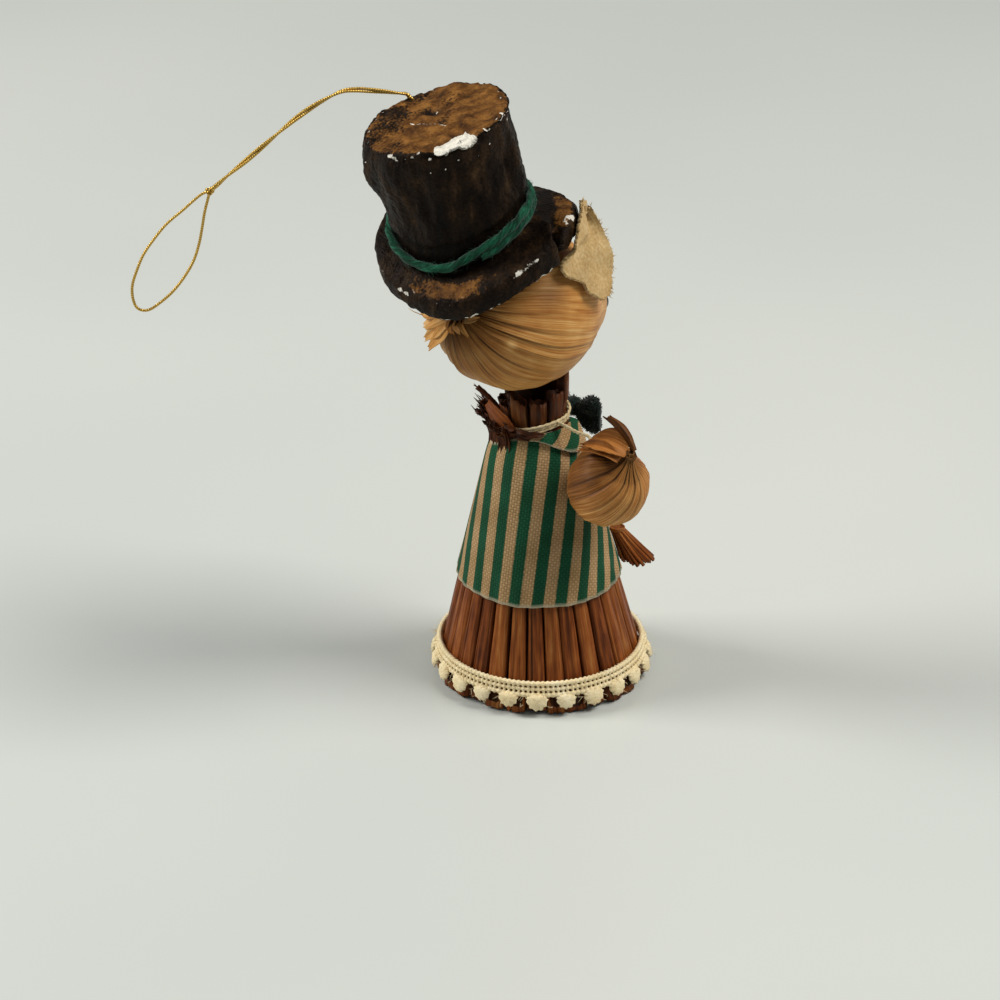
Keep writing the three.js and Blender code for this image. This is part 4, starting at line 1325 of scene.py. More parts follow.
def make_head():
    rng = random.Random(41)
    from_gather = np.concatenate([np.linspace(gather_hole * 0.35, gather_hole, hollow_rows + 1)[:-1],
                                  np.linspace(gather_hole, math.pi - 0.01, head_rows - hollow_rows)])
    from_gather, around = np.meshgrid(from_gather, full_turn(head_columns), indexing="ij")
    sway = around + 0.02 * np.sin(2 * from_gather + 3 * around) + 0.012 * np.sin(5 * from_gather + 7 * around)
    start = np.degrees(from_gather - gather_hole).clip(0)
    left = 1 + 0.65 * np.cos(around - math.radians(75))
    main, main_groove = pleats(sway, start / left, *pleat_lines(28, rng, (22, 60), (0.55, 1.25)))
    small, small_groove = pleats(sway, start / left, *pleat_lines(97, rng, (16, 55), (0.14, 0.36)))
    lift = main + small - 0.3
    lift = lift - gather_depth * (1 - smooth_step(from_gather, gather_hole * 0.3, gather_hole * 1.25))
    lift = np.maximum(lift, lerp(-husk_thickness, -gather_depth, smooth_step(start, 0, 4)))
    points = on_head(from_gather, around, lift * smooth_step(from_gather, math.pi, math.pi - 0.5))
    points = points + 0.14 * wobble(points, 5.0, 8)[..., None] * (points - head_centre) / head_radius
    grain = np.stack([np.cos(sway) * head_radius, np.sin(sway) * head_radius, from_gather * head_radius], -1)
    shade = head_shade(from_gather, around, start, left, main_groove, small_groove)
    worn_spot = spot_on_head(from_gather, around, worn_place, worn_size)
    torn = torn_edge(from_gather, around, wobble(points, 0.7, 9))
    shade = np.clip(np.maximum(shade * (1 - worn_spot), 0.75 * torn), 0, 0.95)
    tint = 0.28 * wobble(points, 4.0, 3) + 0.12 * smooth_step(start, 20, 80) + 0.8 * worn_spot
    shape = Shape().add(points, closed_faces(head_rows, head_columns), grain=grain, shade=shade, tint=tint)
    add_gather_ends(shape, rng)
    return shape


make_piece(make_head(), "pleated_head", husk_finish, "head_husk")

# %% [markdown]
# Eyes and nose are small dark beads, glued on. A plain ball would do from afar, but a real bead has a flat
# seat and a drilled hole on its axis, so its profile is drawn and spun.

# %% Beads
bead_columns = 32


def make_bead(node, name):
    low, high, centre = solid_box(node)
    axis = unit(centre - head_centre)
    radius = (high - low).max() / 2
    bends = np.linspace(0.24, 2.35, 18)
    profile = [(math.sin(bend) * radius, math.cos(bend) * radius * 0.92) for bend in bends]
    hole, seat = radius * 0.6, profile[-1][1]
    profile = [(profile[0][0] * 0.8, radius * 0.65), *profile]
    across = unit(np.cross(axis, (0, 0, 1.0)))
    turn = full_turn(bead_columns)
    ring = np.cos(turn)[:, None] * across + np.sin(turn)[:, None] * np.cross(axis, across)
    rings = np.array([centre + axis * height + size * ring for size, height in profile])
    points = np.concatenate([rings.reshape(-1, 3), [centre + axis * hole], [centre + axis * seat]])
    faces = [face[::-1] for face in pointed_faces(len(rings), bead_columns)]
    make_piece(Shape().add(points, faces), name, bead_finish, node)


for node, name in (("eye_right", "bead_eye_right"), ("eye_left", "bead_eye_left"), ("nose", "bead_nose")):
    make_bead(node, name)

# %% [markdown]
# The hat sits askew. In the tilted directions every formula would fill with sines, so its shapes are worked
# out upright around the middle of the brim's top and turned into place at the end. The brim sags at two
# opposite sides, and the crown leans and has a slanted top.

# %% Hat frame
hat_tilt = math.radians(15.2)
hat_shift = (2.5, 1.9)
brim_radius = 13.85
brim_thickness = 3.4
brim_edge = 1.1
brim_sink = 0.4
brim_bend = 3.85
brim_bend_angle = math.radians(108)
crown_foot_radius = 9.6
crown_foot = (1.1, 1.1)
crown_top_radius = 10.3
crown_top = (2.6, 0.3)
crown_height = 15.85
crown_slant = (math.radians(9.6), math.radians(-1.95))
hat_turn = np.array(Matrix.Rotation(-hat_tilt, 3, "X"))
hat_place = head_centre + hat_turn @ np.array([*hat_shift, head_radius - brim_sink + brim_thickness])
top_normal = Vector((math.tan(crown_slant[0]), math.tan(crown_slant[1]), 1)).normalized()
top_turn = np.array(Vector((0, 0, 1)).rotation_difference(top_normal).to_matrix())
top_middle = np.array([*crown_top, straw_gap + crown_height])


def hat_to_world(points):
    return np.asarray(points) @ hat_turn.T + hat_place


def world_to_hat(points):
    return (np.asarray(points) - hat_place) @ hat_turn


def brim_drop(x, y):
    away = x * math.cos(brim_bend_angle) + y * math.sin(brim_bend_angle)
    return brim_bend * (away / brim_radius) ** 2


def crown_point(angle, share, off=0.0):
    """A point on the crown's wall in the hat's frame, off it by a distance."""
    foot = polar(crown_foot_radius + off, angle, straw_gap) + np.array([*crown_foot, 0])
    foot[..., 2] -= brim_drop(foot[..., 0], foot[..., 1])
    top = polar(crown_top_radius + off, angle, 0.0) @ top_turn.T
    return lerp(foot, top + top_middle, np.asarray(share)[..., None])


def rim_radius(angle):
    """Outer radius of the brim, whose cut edge is uneven."""
    ring = polar(9.0, angle, 0)
    return brim_radius + wobble(ring, 5.0, 12) * 0.5 + wobble(ring, 1.7, 13) * 0.18


def pushed_off_head(points, gap):
    """Points inside the head, or nearer to it than the gap, moved straight out to the gap."""
    away = points - head_centre
    distance = np.linalg.norm(away, axis=-1, keepdims=True)
    return np.where(distance < head_radius + gap, head_centre + away / distance * (head_radius + gap), points)


print("hat: brim", 2 * brim_radius, "mm across at", hat_place.round(1), "and crown", crown_height, "mm tall")

# %% [markdown]
# The brim is a thick foam ring whose cut edge is uneven. On the side above the right ear it is folded: a
# crease runs from the crown to the rim, with a rounded lobe in front of it. Cutting the fold with a boolean
# would leave sharp edges, so it is a soft step and a notch in the ring's own heights.

# %% Brim form
brim_columns = 420
crease_at_crown = math.radians(210)
crease_at_rim = math.radians(190)
lobe_rise = 1.0
notch_depth = 1.9


def brim_profile():
    """Radius and height of the ring's outline: underside, rounded rim and upper face."""
    half = brim_thickness / 2
    inner = brim_radius - brim_edge
    bends = np.linspace(-math.pi / 2, math.pi / 2, 22)
    rim = [(inner + brim_edge * math.cos(bend), half * math.copysign(abs(math.sin(bend)) ** 0.6, bend))
           for bend in bends]
    radii = np.linspace(0.3, inner, 34)[:-1]
    under, over = [(radius, -half) for radius in radii], [(radius, half) for radius in radii[::-1]]
    return np.array([*under, *rim, *over])


def brim_fold(angle, radius):
    """The angle away from the crease, the step beside it, and the notch where it meets the rim."""
    crease = lerp(crease_at_crown, crease_at_rim, np.clip((radius - 10.0) / 3.6, 0, 1))
    away = np.mod(angle[None, :] - crease + math.pi, TURN) - math.pi
    outer = smooth_step(radius, 9.6, 11.2)
    step = -np.tanh(away / 0.035) * bell(away, 0, np.where(away < 0, 0.34, 0.26)) * outer
    notch = bell(away, 0.03, 0.055) * smooth_step(radius, 11.4, 13.0)
    return away, step, notch


def brim_points(angle, radius, z, edge, step, notch):
    """The brim in the hat's frame, with its fold, its grit and its sag."""
    thick = 1 + 0.16 * wobble(polar(9.0, angle, 5.0), 6.0, 14)[None, :] * edge
    points = polar(radius - notch_depth * notch + 0.45 * step.clip(0), angle[None, :], z * thick)
    above, below = lobe_rise * step - 1.2 * notch, 0.3 * notch - 0.3 * step.clip(0)
    points[..., 2] += np.where(z > 0, above, below) - brim_thickness / 2
    grit = 0.24 * wobble(points, 1.6, 15) + 0.12 * wobble(points, 0.6, 16)
    points[..., 2] += grit * np.sign(z + 1e-9) * edge
    points[..., :2] *= (1 + 0.012 * wobble(points, 0.9, 17) * edge)[..., None]
    points[..., 2] -= brim_drop(points[..., 0], points[..., 1])
    return points


# %% [markdown]
# Paint has chipped off along the edges of the brim, and its upper face is rubbed to ochre at the back and on
# the lobe. Hand painting would look as good, but it would be lost when the form changes, so the places are
# bells around an angle or a radius, broken up by noise.

# %% Brim wear
chipped_angle = 212
rubbed_places = ((116, 24, 0.7), (222, 26, 0.7))


def brim_wear(points, angle, radius, z):
    """How bare and how worn the paint is, from 0 to 1."""
    turned = np.degrees(angle)[None, :]
    flecks = wobble(points, 0.9, 18) + 0.7 * wobble(points, 2.5, 19)
    corner = bell(np.abs(z), brim_thickness * 0.375, 0.5) * smooth_step(radius, 12.2, 13.2)
    bare = np.clip(0.34 + 0.62 * flecks, 0, 1) * corner * np.where(z > 0, 0.85, 1.1)
    bare = bare + 0.5 * bell(turned, chipped_angle, 6) * bell(radius, 12.9, 0.5) * (z > 0)
    rubbed = sum(bell(turned, middle, width) * strength for middle, width, strength in rubbed_places)
    face = (z > 0) * smooth_step(radius, 10.6, 11.8) * smooth_step(radius, 13.9, 13.0)
    worn = face * rubbed + 0.12 * (z > 0) + 0.2 * flecks
    return np.clip(bare, 0, 1), np.clip(worn, 0, 1)


def make_brim():
    angle = full_turn(brim_columns)
    profile = brim_profile()
    radius = profile[:, :1] * np.ones(brim_columns)
    z = profile[:, 1:] * np.ones(brim_columns)
    edge = smooth_step(radius, 9.5, brim_radius)
    radius = radius + edge * (rim_radius(angle) - brim_radius)
    away, step, notch = brim_fold(angle, radius)
    points = brim_points(angle, radius, z, edge, step, notch)
    bare, worn = brim_wear(points, angle, radius, z)
    # Painted shade on the brim's top beside the crown, in the notch and along the crease.
    gap = bell(away, 0.06, 0.07) * smooth_step(radius, 9.6, 11.2) * (z > 0)
    shade = 0.55 * bell(radius, 10.2, 1.0) * (z > 0) + 0.6 * notch + 0.6 * gap
    return Shape().add(pushed_off_head(hat_to_world(points), 0.35), closed_faces(len(profile), brim_columns),
                       bare=bare, worn=worn, shade=np.clip(shade, 0, 0.8))


make_piece(make_brim(), "foam_brim", hat_finish, "hat_brim")

# %% [markdown]
# The crown is a foam block with a soft dented wall and a slanted top. A cylinder with a displace modifier
# would dent evenly all over. Here the wall and the top are one grid that knows for each point how high it is
# on the wall and how far out on the top, so every mark can be put where it belongs.

# %% Crown form
crown_columns = 420
wall_rows = 70
top_rows = 54
rim_drop = crown_height * 0.03


def crown_grid():
    """Points of wall and top in the hat's frame, and for each point its place on the block."""
    angle = full_turn(crown_columns)
    wall = [crown_point(angle, np.full(crown_columns, share)) for share in np.linspace(0.0, 0.97, wall_rows)]
    radii = np.linspace(1, 0.01, top_rows)
    top = []
    for share in radii:
        sunk = -rim_drop * smooth_step(share, 0.93, 1.0) * 0.6
        top.append(polar(crown_top_radius * share * 0.985, angle, sunk) @ top_turn.T + top_middle)
    full = np.ones(crown_columns)
    on_top = np.concatenate([np.zeros(wall_rows), np.ones(top_rows)])[:, None] * full
    share = np.concatenate([np.linspace(0, 1, wall_rows), np.ones(top_rows)])[:, None] * full
    radial = np.concatenate([np.ones(wall_rows), radii])[:, None] * full
    return np.concatenate([np.array(wall), np.array(top)]), angle, on_top, share, radial


# %% [markdown]
# A large flake of paint is missing at the top's edge, where white foam shows, and smaller chips follow the
# rim. The top has a dent with a raised crumb beside it and a scratch, and shallow grooves run up the wall.
# Each mark is a value from 0 to 1 that both sinks the surface and tells the paint where it is gone.

# %% Crown marks
flake_angle = math.radians(153)
flake_half_width = math.radians(19)
dent_place = (2.4, -1.2)
dent_size = (1.5, 0.9)
crumb_shift = (0.6, 0.5)
wall_grooves = [(196, 0.3, 0.8), (158, 0.15, 0.6), (118, 0.4, 0.9), (250, 0.2, 0.7), (318, 0.3, 0.9),
                (20, 0.2, 0.7)]


def crown_flake(angle, on_top, share, radial):
    """The large flake, with a ragged border on the top and on the wall."""
    away = np.mod(angle - flake_angle + math.pi, TURN) - math.pi
    ragged = wobble(polar(10.0, angle, 3.0), 1.1, 25)
    across_flake = np.clip(away / flake_half_width, -1, 1) * 0.5 + 0.5
    reach_in = (1 - lerp(0.1, 0.31, across_flake) + 0.07 * ragged)[None, :]
    reach_down = (0.955 + 0.03 * wobble(polar(10.0, angle, 9.0), 0.8, 36))[None, :]
    within = smooth_step(np.abs(away), flake_half_width * 1.08, flake_half_width * 0.8)[None, :]
    return within * np.where(on_top > 0, smooth_step(radial, reach_in, reach_in + 0.05),
                             smooth_step(share, reach_down, reach_down + 0.02))


def crown_chips(points, angle, rim):
    """Small chips along the rim, more often at two sides."""
    turned = np.degrees(angle)[None, :]
    specks = wobble(points, 0.8, 26) + 0.6 * wobble(points, 2.2, 27)
    often = 0.27 * bell(turned, 190, 30) + 0.12 * bell(turned, 45, 25)
    return smooth_step(specks + often, 0.38, 0.6) * rim


def top_marks(flat, on_top):
    """The dent, the scratch and the crumb on the top."""
    x, y = flat[..., 0], flat[..., 1]
    dent = bell(x, dent_place[0], dent_size[0]) * bell(y, dent_place[1], dent_size[1]) * on_top
    scratch = bell(y, 1.9 + 0.18 * x + 0.3 * np.sin(x), 0.26)
    scratch = scratch * on_top * smooth_step(x, -4.6, -3.2) * smooth_step(x, 3.4, 2.2)
    crumb_distance = np.hypot(x - dent_place[0] + crumb_shift[0], y - dent_place[1] + crumb_shift[1])
    return dent, scratch, bell(crumb_distance, 0, 0.35) * on_top


def wall_lift(points, angle, on_top, share, radial):
    """Dents of the whole block, with the wall's bulge, grooves and the waist below the band."""
    stretched = points * np.array([1, 1, 0.35])
    dents = 0.55 * wobble(stretched, 3.6, 22) + 0.24 * wobble(stretched, 1.3, 23)
    dents = (dents + 0.12 * wobble(points, 0.6, 24)) * np.where(on_top > 0, smooth_step(radial, 0, 0.1), 1)
    wall = 1 - on_top
    squeezed = wall * (1 - smooth_step(share, 0.18, 0.27))
    lift = dents * (1 - squeezed) - 0.55 * squeezed - 0.35 * smooth_step(share, 0.94, 1.0) * wall
    turned = np.degrees(angle)[None, :]
    lift = lift + 0.9 * bell(share, 0.74, 0.2) * bell(turned, 62, 38) * wall
    for groove_at, low, high in wall_grooves:
        length = smooth_step(share, low, low + 0.15) * smooth_step(share, high, high - 0.15)
        lift = lift - 0.55 * bell(turned, groove_at, 4.5) * length * wall
    return lift


# %% Crown
def make_crown():
    points, angle, on_top, share, radial = crown_grid()
    wall = 1 - on_top
    rim = bell(share, 1, 0.05) * smooth_step(radial, 0.86, 0.97)
    flat = polar(crown_top_radius * radial, angle[None, :], 0.0)
    flake = crown_flake(angle, on_top, share, radial)
    chips = crown_chips(points, angle, rim)
    dent, scratch, crumb = top_marks(flat, on_top)
    lift = wall_lift(points, angle, on_top, share, radial) - 0.45 * flake - 0.35 * chips
    lift = lift - 1.2 * dent - 0.2 * scratch + 0.6 * crumb
    outward = polar(1.0, angle, 0.0)[None] * wall[..., None] + np.array(top_normal) * on_top[..., None]
    points = hat_to_world(points + outward * lift[..., None])
    bare = np.clip(1.0 * flake + 0.8 * chips + 0.62 * crumb + 0.6 * scratch, 0, 1)
    specks_low = smooth_step(wobble(points, 0.7, 29), 0.55, 0.65) * (share > 0.84) * wall * 0.8
    # The ochre on the top is painted stronger toward the right lamp's side, as painted light.
    lit_side = -(flat[..., 0] + flat[..., 1]) / (crown_top_radius * math.sqrt(2))
    worn = on_top * (0.74 + 0.38 * lit_side + 0.46 * wobble(points, 3.0, 30)) - 0.8 * dent + 0.12 * rim
    worn = worn * smooth_step(radial, 1.02, 0.93) + 0.16 * wall * wobble(points, 2.4, 31).clip(0)
    # Painted shade low on the wall toward the brim, and in the dent.
    shade = 0.7 * wall * smooth_step(share, 0.75, 0.05) + 0.8 * dent
    return Shape().add(points, closed_faces(len(points), crown_columns),
                       bare=np.clip(np.maximum(bare, specks_low), 0, 1), worn=np.clip(worn, 0, 1),
                       shade=np.clip(shade, 0, 1))


make_piece(make_crown(), "foam_crown", hat_finish, "hat_crown")

# %% [markdown]
# The hat's band of green wool is drawn tight around the foot of the crown and sinks a little into the foam.
# After one turn it climbs over its own start and runs on above it, so it is single on the left and double on
# the right. A plain ring would have no ends, so the route is worked out along the wall. Two plies turn
# around each other and loose fibres stand off.

# %% Band
band_diameter = 1.25
band_start = math.radians(150)
band_turns = 1.42
band_sink = 0.35
band_steps = 460
band_hairs = 700


def make_band():
    rng = random.Random(51)
    angle = np.linspace(0, TURN * band_turns, band_steps)
    climb = 0.5 + 1.12 * smooth_step(angle, TURN - 0.55, TURN + 0.05)
    foot, top = (crown_point(band_start + angle, np.full(band_steps, share)) for share in (0.0, 1.0))
    wall = np.linalg.norm(top - foot, axis=1)
    path = crown_point(band_start + angle, (band_diameter / 2 + climb) / wall, band_diameter / 2 - band_sink)
    path = hat_to_world(path + 0.05 * wobble(path, 2.0, 33)[:, None])
    shape = Shape()
    add_tube(shape, path, band_diameter / 2 * 1.06, sides=16, plies=2, ply_depth=0.3, lay=7.0)
    across, up = rail(path)
    for _ in range(band_hairs):
        at = rng.randrange(2, len(path) - 2)
        turn = rng.uniform(0, TURN)
        out = across[at] * math.cos(turn) + up[at] * math.sin(turn)
        lay = unit(path[at + 1] - path[at - 1]) * rng.choice((-1, 1)) * rng.uniform(1.0, 2.6)
        root = path[at] + out * band_diameter * 0.42
        add_hair(shape, root, out + lay, rng.uniform(0.5, 1.1), 0.035, 0.35, rng)
    return shape


make_piece(make_band(), "wool_band", yarn_finish, "hat_band")

# %% [markdown]
# The ears are petals of cream felt, glued to the sides of the head. The hat sits askew, so the right ear
# stands up beside the brim and the left one is tucked beneath it. A cloth simulation could find such a fit,
# but it would settle differently after every change, so two plain rules bend the felt: out past the rim, or
# down beneath it.

# %% Felt at the brim
def at_brim(local):
    """For points in the hat's frame: height over the brim's top, distance from its axis and past its rim."""
    level = local[..., 2] + brim_drop(local[..., 0], local[..., 1])
    reach = np.hypot(local[..., 0], local[..., 1])
    return level, reach, reach - rim_radius(np.arctan2(local[..., 1], local[..., 0]))


def beside_brim(points, gap):
    """Felt that rises into the brim is bent outwards, past the rim by a gap."""
    local = world_to_hat(points)
    level, reach, past_rim = at_brim(local)
    bent = (gap - past_rim).clip(0) * smooth_step(level, -brim_thickness - 2.0, -brim_thickness)
    local[..., :2] *= (1 + bent / reach)[..., None]
    return hat_to_world(local)


def beneath_brim(points, gap):
    """Felt that rises into the brim is pressed down beneath it, and felt outside the rim stays free."""
    local = world_to_hat(points)
    level, _, past_rim = at_brim(local)
    under = -brim_thickness - gap
    pressed = np.where(level > under, smooth_step(past_rim, 0.8, 0.4), 0)
    local[..., 2] += (under - level) * pressed
    return hat_to_world(local)


# %% [markdown]
# The petal is cupped and curls away from the head. Felt has no threads, so its edge wears into a ragged
# fringe. A cut-out picture on a flat sheet would be lighter, but would look like paper from the side. Each
# face of the felt has its own gaps, so that it keeps its thickness where it bends.

# %% Ear form
ear_height = 12.0
ear_width = 9.5
ear_thickness = 0.55
ear_rise = math.radians(24)
ear_forward = math.radians(9)
ear_sweep = math.radians(37)
ear_cup = 0.8
ear_curl = 1.0
ear_skew = 3.6
ear_rows = 70
ear_columns = 64
gaps_to_head = {1: 0.5, -1: 0.2}
gaps_beside_brim = {1: 0.95, -1: 0.4}
gaps_beneath_brim = {1: 0.3, -1: 0.75}
ear_out = np.array([-math.cos(ear_rise) * math.cos(ear_forward), -math.cos(ear_rise) * math.sin(ear_forward),
                    math.sin(ear_rise)])
upright = unit(np.array([0, 0, 1.0]) - ear_out * ear_out[2])
forward = np.cross(ear_out, upright)
ear_up = upright * math.cos(ear_sweep) - forward * math.sin(ear_sweep)
ear_aside = forward * math.cos(ear_sweep) - np.cross(ear_out, forward) * math.sin(ear_sweep)


def ear_outline(along, aside, rng):
    """Height and half width of the petal over a grid from foot to tip and from edge to edge."""
    tip_fringe = draws(rng, ear_columns)[None, :]
    side_fringe = draws(rng, 2 * ear_rows).reshape(ear_rows, 2)
    low_edge = 0.1 * smooth_step(aside, -0.3, 0.15) * (1 - along) ** 2
    height = ear_height * 0.91 * (along + low_edge + 0.045 * tip_fringe * smooth_step(along, 0.85, 1.0))
    ragged = np.where(aside > 0, side_fringe[:, 1:], side_fringe[:, :1])
    ragged = ragged * smooth_step(np.abs(aside), 0.82, 1.0)
    width = ear_width * 0.53 * np.sqrt(np.clip(1 - ((along - 0.2) / 0.82) ** 2, 0.0, 1)) + 0.16 * ragged
    width = width * (1 - 0.2 * smooth_step(along, 0.14, 0.0) ** 2)
    return height, width * (1 + 0.24 * (aside > 0) * smooth_step(along, 0.1, 0.5))


def ear_face(layer, side, along, aside, height, width, stand):
    """One face of the felt, outer (1) or inner (-1), fitted between the head and the brim."""
    nap = 0.05 * wobble(np.stack([aside * 5, along * 12, 0 * aside + layer], -1), 0.4, 35)
    stand = stand + layer * ear_thickness / 2 + nap
    sideways = aside * width + ear_skew * along ** 3
    points = stand[..., None] * ear_out + sideways[..., None] * ear_aside + height[..., None] * ear_up
    points = pushed_off_head(points * np.array([-side, 1, 1]) + head_centre, gaps_to_head[layer])
    if side < 0:
        points = beside_brim(points, gaps_beside_brim[layer])
    else:
        points = beneath_brim(points, gaps_beneath_brim[layer])
    return pushed_off_head(points, 0.2)


# %% Ears
edge_hairs = 150
tip_tufts = 16


def add_ear_fuzz(shape, both, border, side, rng):
    """Loose fibres around the edge, and frayed bits at the tip of the ear that stands free."""
    outline = both.reshape(-1, 3)[border]
    middle = outline.mean(0)
    for _ in range(edge_hairs):
        root = outline[rng.randrange(len(outline))]
        out = unit(root - middle) + 0.5 * draws(rng, 3)
        add_hair(shape, root, out, rng.uniform(0.2, 0.6), 0.05, 0.5, rng)
    mirror = np.array([-side, 1, 1])
    for _ in range(tip_tufts if side < 0 else 0):
        root = both[0, -1, rng.randrange(8, ear_columns - 8)] - ear_up * mirror * 0.4
        out = ear_up * mirror + 0.35 * draws(rng, 3)
        spine = [root, root + 0.5 * out, root + rng.uniform(0.5, 0.9) * out]
        add_strip(shape, spine, [0.9, 0.6, 0.2], 0.4, ear_out * mirror, rng, rows=7, columns=5, thickness=0.2,
                  shade=0.0)


def make_ear(node, name, side):
    rng = random.Random(61 + side)
    along, aside = np.meshgrid(np.linspace(0, 1, ear_rows), np.linspace(-1, 1, ear_columns), indexing="ij")
    height, width = ear_outline(along, aside, rng)
    curl = ear_cup * aside ** 2 * along + ear_curl * along ** 2
    pucker = wobble(np.stack([aside * 5, along * 8, 0 * aside], -1), 2.4, 34 + side)
    stand = head_radius + straw_gap + ear_thickness / 2 + curl + 0.55 * pucker
    both = np.stack([ear_face(layer, side, along, aside, height, width, stand) for layer in (1, -1)])
    faces, border = sheet_faces(ear_rows, ear_columns)
    # Darker low on the petal, more in its puckers.
    low_darkening = smooth_step(along, 0.6, 0.05) * smooth_step(np.abs(aside - 0.1), 0.75, 0.1)
    low_darkening = 0.3 * low_darkening * (0.6 + 0.4 * pucker)
    shape = Shape().add(both, faces, grain=both, shade=np.stack([low_darkening, low_darkening]).clip(0))
    add_ear_fuzz(shape, both, border, side, rng)
    make_piece(shape, name, felt_finish, node)


make_ear("ear_right", "felt_ear_right", -1)
make_ear("ear_left", "felt_ear_left", 1)

# %% [markdown]
# The sack is a ball of husk, drawn together at a throat and tied with thread. Above the ball it narrows as
# an onion does, and its tip leans over towards the smock. It could be a sphere pinched with a lattice, but
# tie and leaves have to follow the same outline, so the outline is a function that all of them can ask.

# %% Sack form
sack_radius = 5.9
sack_tilt = math.radians(38.5)
throat_flare = 0.4
tie_diameter = 0.4
tie_turns = 1.25
tie_pitch = 0.85
onion_radius = 2.9
onion_tip = 0.55
onion_lean = 0.8
sack_columns = 420
throat_top = sack_radius + tie_turns * tie_pitch + tie_diameter + straw_gap + throat_flare
sack_centre = solid_box("sack_ball")[2]
sack_turn = np.array(Matrix.Rotation(-sack_tilt, 3, "Y"))


def sack_to_world(points):
    return np.asarray(points) @ sack_turn.T + sack_centre


def onion(z):
    """Radius of the drawn-in husk above the ball."""
    start = math.sqrt(sack_radius ** 2 - onion_radius ** 2)
    share = np.clip((z - start) / (throat_top - start), 0, 1)
    return onion_tip + (onion_radius - onion_tip) * (1 - share) ** 1.8


def onion_bent(points):
    """The tip leans over towards the smock."""
    points = np.array(points, float)
    points[..., 0] += onion_lean * np.clip((points[..., 2] - 5.0) / 3.0, 0, 2) ** 2
    return points


mouth = [(onion_tip - 0.1, throat_top + 0.05), (onion_tip - 0.3, throat_top - 0.25), (0.05, throat_top - 0.5)]


def sack_profile():
    """Radius and height of the outline from the foot to the mouth, and degrees down from the throat."""
    end = math.pi - math.asin(onion_radius / sack_radius)
    fall = np.linspace(0.02, end, 110)
    ball = [(sack_radius * math.sin(turn), -sack_radius * math.cos(turn)) for turn in fall]
    neck = [(onion(z), z) for z in np.linspace(ball[-1][1] + 0.15, throat_top, 16)]
    below = np.degrees(np.concatenate([end - fall, np.zeros(len(neck) + len(mouth))]))
    return np.array([*ball, *neck, *mouth]), below[:, None] * np.ones(sack_columns)


print("sack:", 2 * sack_radius, "mm across, its throat ends", round(throat_top, 2), "mm from its middle")

# %% [markdown]
# The pleats run from the throat around to the side that lies against the smock, and a second layer of husk
# starts half way down. The pleat rule of the head serves again. A painted shade darkens the grooves and the
# side beside the smock, and the outer side is painted lighter, as painted light.

# %% Sack wrap
sack_swirl = 0.85


def facing(around, degrees, low, high):
    """1 on the side that faces an angle and 0 on the far side, with a soft border."""
    return smooth_step(np.cos(around - math.radians(degrees)), low, high)[None, :]


# Painted shade in the grooves, at the throat, under the foot, along the second layer's edge, inside the mouth and
# on the side beside the smock.
def sack_shade(around, below, second_layer, main_groove, small_groove):
    shade = np.clip(1.4 * main_groove + 1.2 * small_groove, 0, 0.75) * (0.45 + 0.55 * np.exp(-below / 60))
    shade = shade + 0.25 * np.exp(-below / 5) + 0.35 * smooth_step(below, 150, 172)
    shade = shade + 0.6 * bell(second_layer, 0.6, 0.3) + 0.42 * facing(around, 40, 0.3, 0.95)
    shade[-len(mouth):] = 0.85
    return np.clip(shade, 0, 0.9)


def make_sack():
    rng = random.Random(71)
    around = full_turn(sack_columns)
    profile, below = sack_profile()
    layer_edge = 96 + 16 * np.sin(around + 0.6)
    second_layer = smooth_step(below, layer_edge, layer_edge + 3)
    sway = around[None, :] + 0.06 * np.sin(below / 22 + 2 * around[None, :]) + 0.2 * second_layer
    sway = sway + sack_swirl * below / 150
    main, main_groove = pleats(sway, below, *pleat_lines(14, rng, (60, 190), (0.2, 0.95)))
    small, small_groove = pleats(sway, below, *pleat_lines(53, rng, (40, 160), (0.1, 0.3)))
    gathered = 0.3 + 0.7 * facing(around, 95, -0.5, 0.5)
    lift = main * gathered + small - 0.3 - 0.3 * second_layer
    lift = lift * smooth_step(np.arange(len(profile)), 0, 14)[:, None]
    radius = profile[:, :1] + lift * np.minimum(1, profile[:, :1] / 2.0)
    points = polar(radius, around[None, :], profile[:, 1:] * np.ones(sack_columns))
    points = points + 0.22 * wobble(points, 3.0, 41)[..., None] * points / sack_radius
    shade = sack_shade(around, below, second_layer, main_groove * gathered, small_groove * gathered)
    # The outer side is painted lighter, as painted light.
    tint = 0.3 * wobble(points, 3.0, 42) + 0.6 * facing(around, 178, -0.15, 0.85)
    grain = np.stack([np.cos(sway) * sack_radius, np.sin(sway) * sack_radius, below * 0.1], -1)
    return Shape().add(sack_to_world(onion_bent(points)), closed_faces(len(profile), sack_columns),
                       grain=grain, shade=shade, tint=tint)


make_piece(make_sack(), "pleated_sack", sack_husk_finish, "sack_wrap")

# %% [markdown]
# Thread is wound around the throat just below its end, so its path asks the onion outline for the radius at
# each height. Curves with a bevel would give a round wire, and the tube helper gives two turned plies.

# %% Sack tie
tie_angle = np.linspace(0, TURN * tie_turns, 90)
tie_heights = sack_radius + 1.4 + 0.4 * tie_pitch * tie_angle / TURN
tie_path = onion_bent(polar(onion(tie_heights) + 0.08, tie_angle, tie_heights))
tie = Shape()
add_tube(tie, sack_to_world(tie_path), tie_diameter / 2 * 1.15, sides=10, plies=2, ply_depth=0.3, lay=1.4)
make_piece(tie, "sack_tie_thread", brown_thread_finish, "sack_tie")

# %% [markdown]
# Two husk leaves start at the throat. The front one, with a narrower one under its edge, arches over the
# sack to the smock, and the back one stands up behind it. A leaf could be a bent plane, but the strip helper
# already makes ribs, a curl and a torn tip, so each leaf is only a spine and a list of widths.

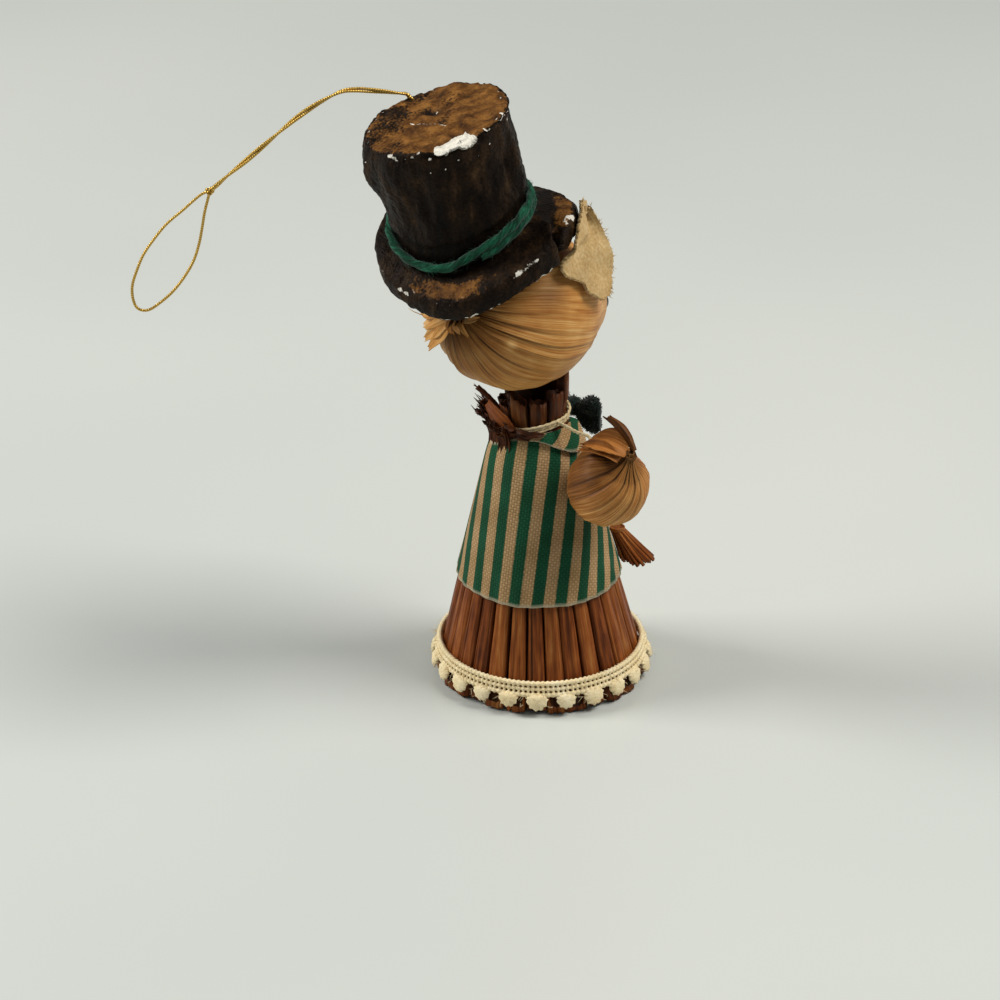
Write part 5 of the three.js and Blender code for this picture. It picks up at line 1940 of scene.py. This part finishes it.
# %% Sack leaves
leaf_rng = random.Random(81)
leaf_start = sack_to_world(onion_bent([0, 0, throat_top - 0.2]))
over_sack = sack_centre + np.array([0, 0, sack_radius])
front_spine = [leaf_start + (0, 0.8, 0), over_sack + (-2.9, 1.4, 1.7), over_sack + (-0.6, 1.8, 1.9),
               over_sack + (2.2, 1.7, 0.7)]
lower_spine = [place + (0.1, 1.4, -0.5) for place in front_spine]
back_spine = [leaf_start + (0, -0.6, 0), over_sack + (-2.4, -0.5, 2.7), over_sack + (-1.0, -0.4, 3.6),
              over_sack + (0.3, -0.2, 4.2)]
front_leaf = Shape()
add_strip(front_leaf, front_spine, [1.4, 3.8, 4.9, 4.0, 1.6], 0.25, np.array([-0.1, 0.3, 1.0]), leaf_rng,
          rows=30, columns=21, tint=0.0, shade=0.0)
add_strip(front_leaf, lower_spine, [1.0, 2.2, 2.6, 1.2], 0.4, np.array([-0.1, 0.6, 1.0]), leaf_rng,
          rows=24, columns=11, tint=-0.25, shade=0.1)
make_piece(front_leaf, "husk_leaf_front", sack_husk_finish, "sack_leaf_front")
back_leaf = Shape()
add_strip(back_leaf, back_spine, [1.0, 2.0, 2.2, 1.4], 0.9, np.array([-0.4, -0.6, 0.7]), leaf_rng,
          rows=26, columns=11, tint=-0.5, shade=0.55)
make_piece(back_leaf, "husk_leaf_back", sack_husk_finish, "sack_leaf_back")

# %% [markdown]
# A short cord leads from the leaves to the neck twine, and the whole sack hangs from it. Its measured solid
# says where it runs. The route starts a little inside the twine and ends on the leaf, so both ends are held.

# %% Sack cord
cord_low, cord_high, cord_middle = solid_box("sack_cord")
cord_sag = 0.15
cord_route = [(cord_high[0] + 2.2, *cord_middle[1:]), (cord_high[0], *cord_middle[1:]),
              (cord_middle[0], cord_middle[1], cord_middle[2] - cord_sag), (cord_low[0], *cord_middle[1:]),
              over_sack + (1.5, 1.6, 0.75)]
sack_cord = Shape()
add_tube(sack_cord, smooth_path(cord_route, 48), 0.26, sides=10, plies=2, ply_depth=0.35, lay=1.6)
make_piece(sack_cord, "sack_cord_twine", twine_finish, "sack_cord")

# %% [markdown]
# The whisk, a little brush of split straw, is glued to the front of the smock and shows past its edge. It is
# a bundle of loose strands, bound at the top, that spread downwards. Hair particles would do for a large
# broom, but this one has few enough strands to make each of them a thin tube of its own colour.

# %% Whisk
whisk_angle = math.radians(248)
whisk_top = 19.5
whisk_low = 14.0
whisk_radii = (0.9, 2.65)
whisk_strands = 220
binding_turns = 2.5


def whisk_centre(share):
    """Middle and radius of the bundle, from its top (0) to its strands' ends (1)."""
    z = lerp(whisk_top, whisk_low, share)
    radius = lerp(*whisk_radii, share)
    return leaned(polar(skirt_outer(z) + 1.1 + radius, whisk_angle, z)), radius


def make_whisk():
    rng = random.Random(91)
    shape = Shape()
    for _ in range(whisk_strands):
        turn = rng.uniform(0, TURN)
        depth = math.sqrt(rng.uniform(0.02, 1))
        stop = rng.uniform(0.9, 1.02)
        path = []
        for share in np.linspace(0, stop, 10):
            centre, radius = whisk_centre(share)
            path.append(centre + polar(radius * depth * 0.93, turn + 0.25 * share, 0.0))
        add_tube(shape, path, rng.uniform(0.14, 0.26), sides=5, tint=rng.uniform(-0.4, 0.4),
                 shade=rng.uniform(0, 0.3))
    middle = whisk_centre(0.03)[0]
    turns = np.linspace(0, TURN * binding_turns, 70)
    binding = [middle + polar(1.0, turn, 0.16 * turn / TURN) for turn in turns]
    add_tube(shape, np.array(binding), 0.14, sides=6, tint=0.4, shade=0.1)
    return shape


make_piece(make_whisk(), "straw_brush", straw_finish, "straw_whisk")

# %% Finish
bpy.context.view_layer.update()
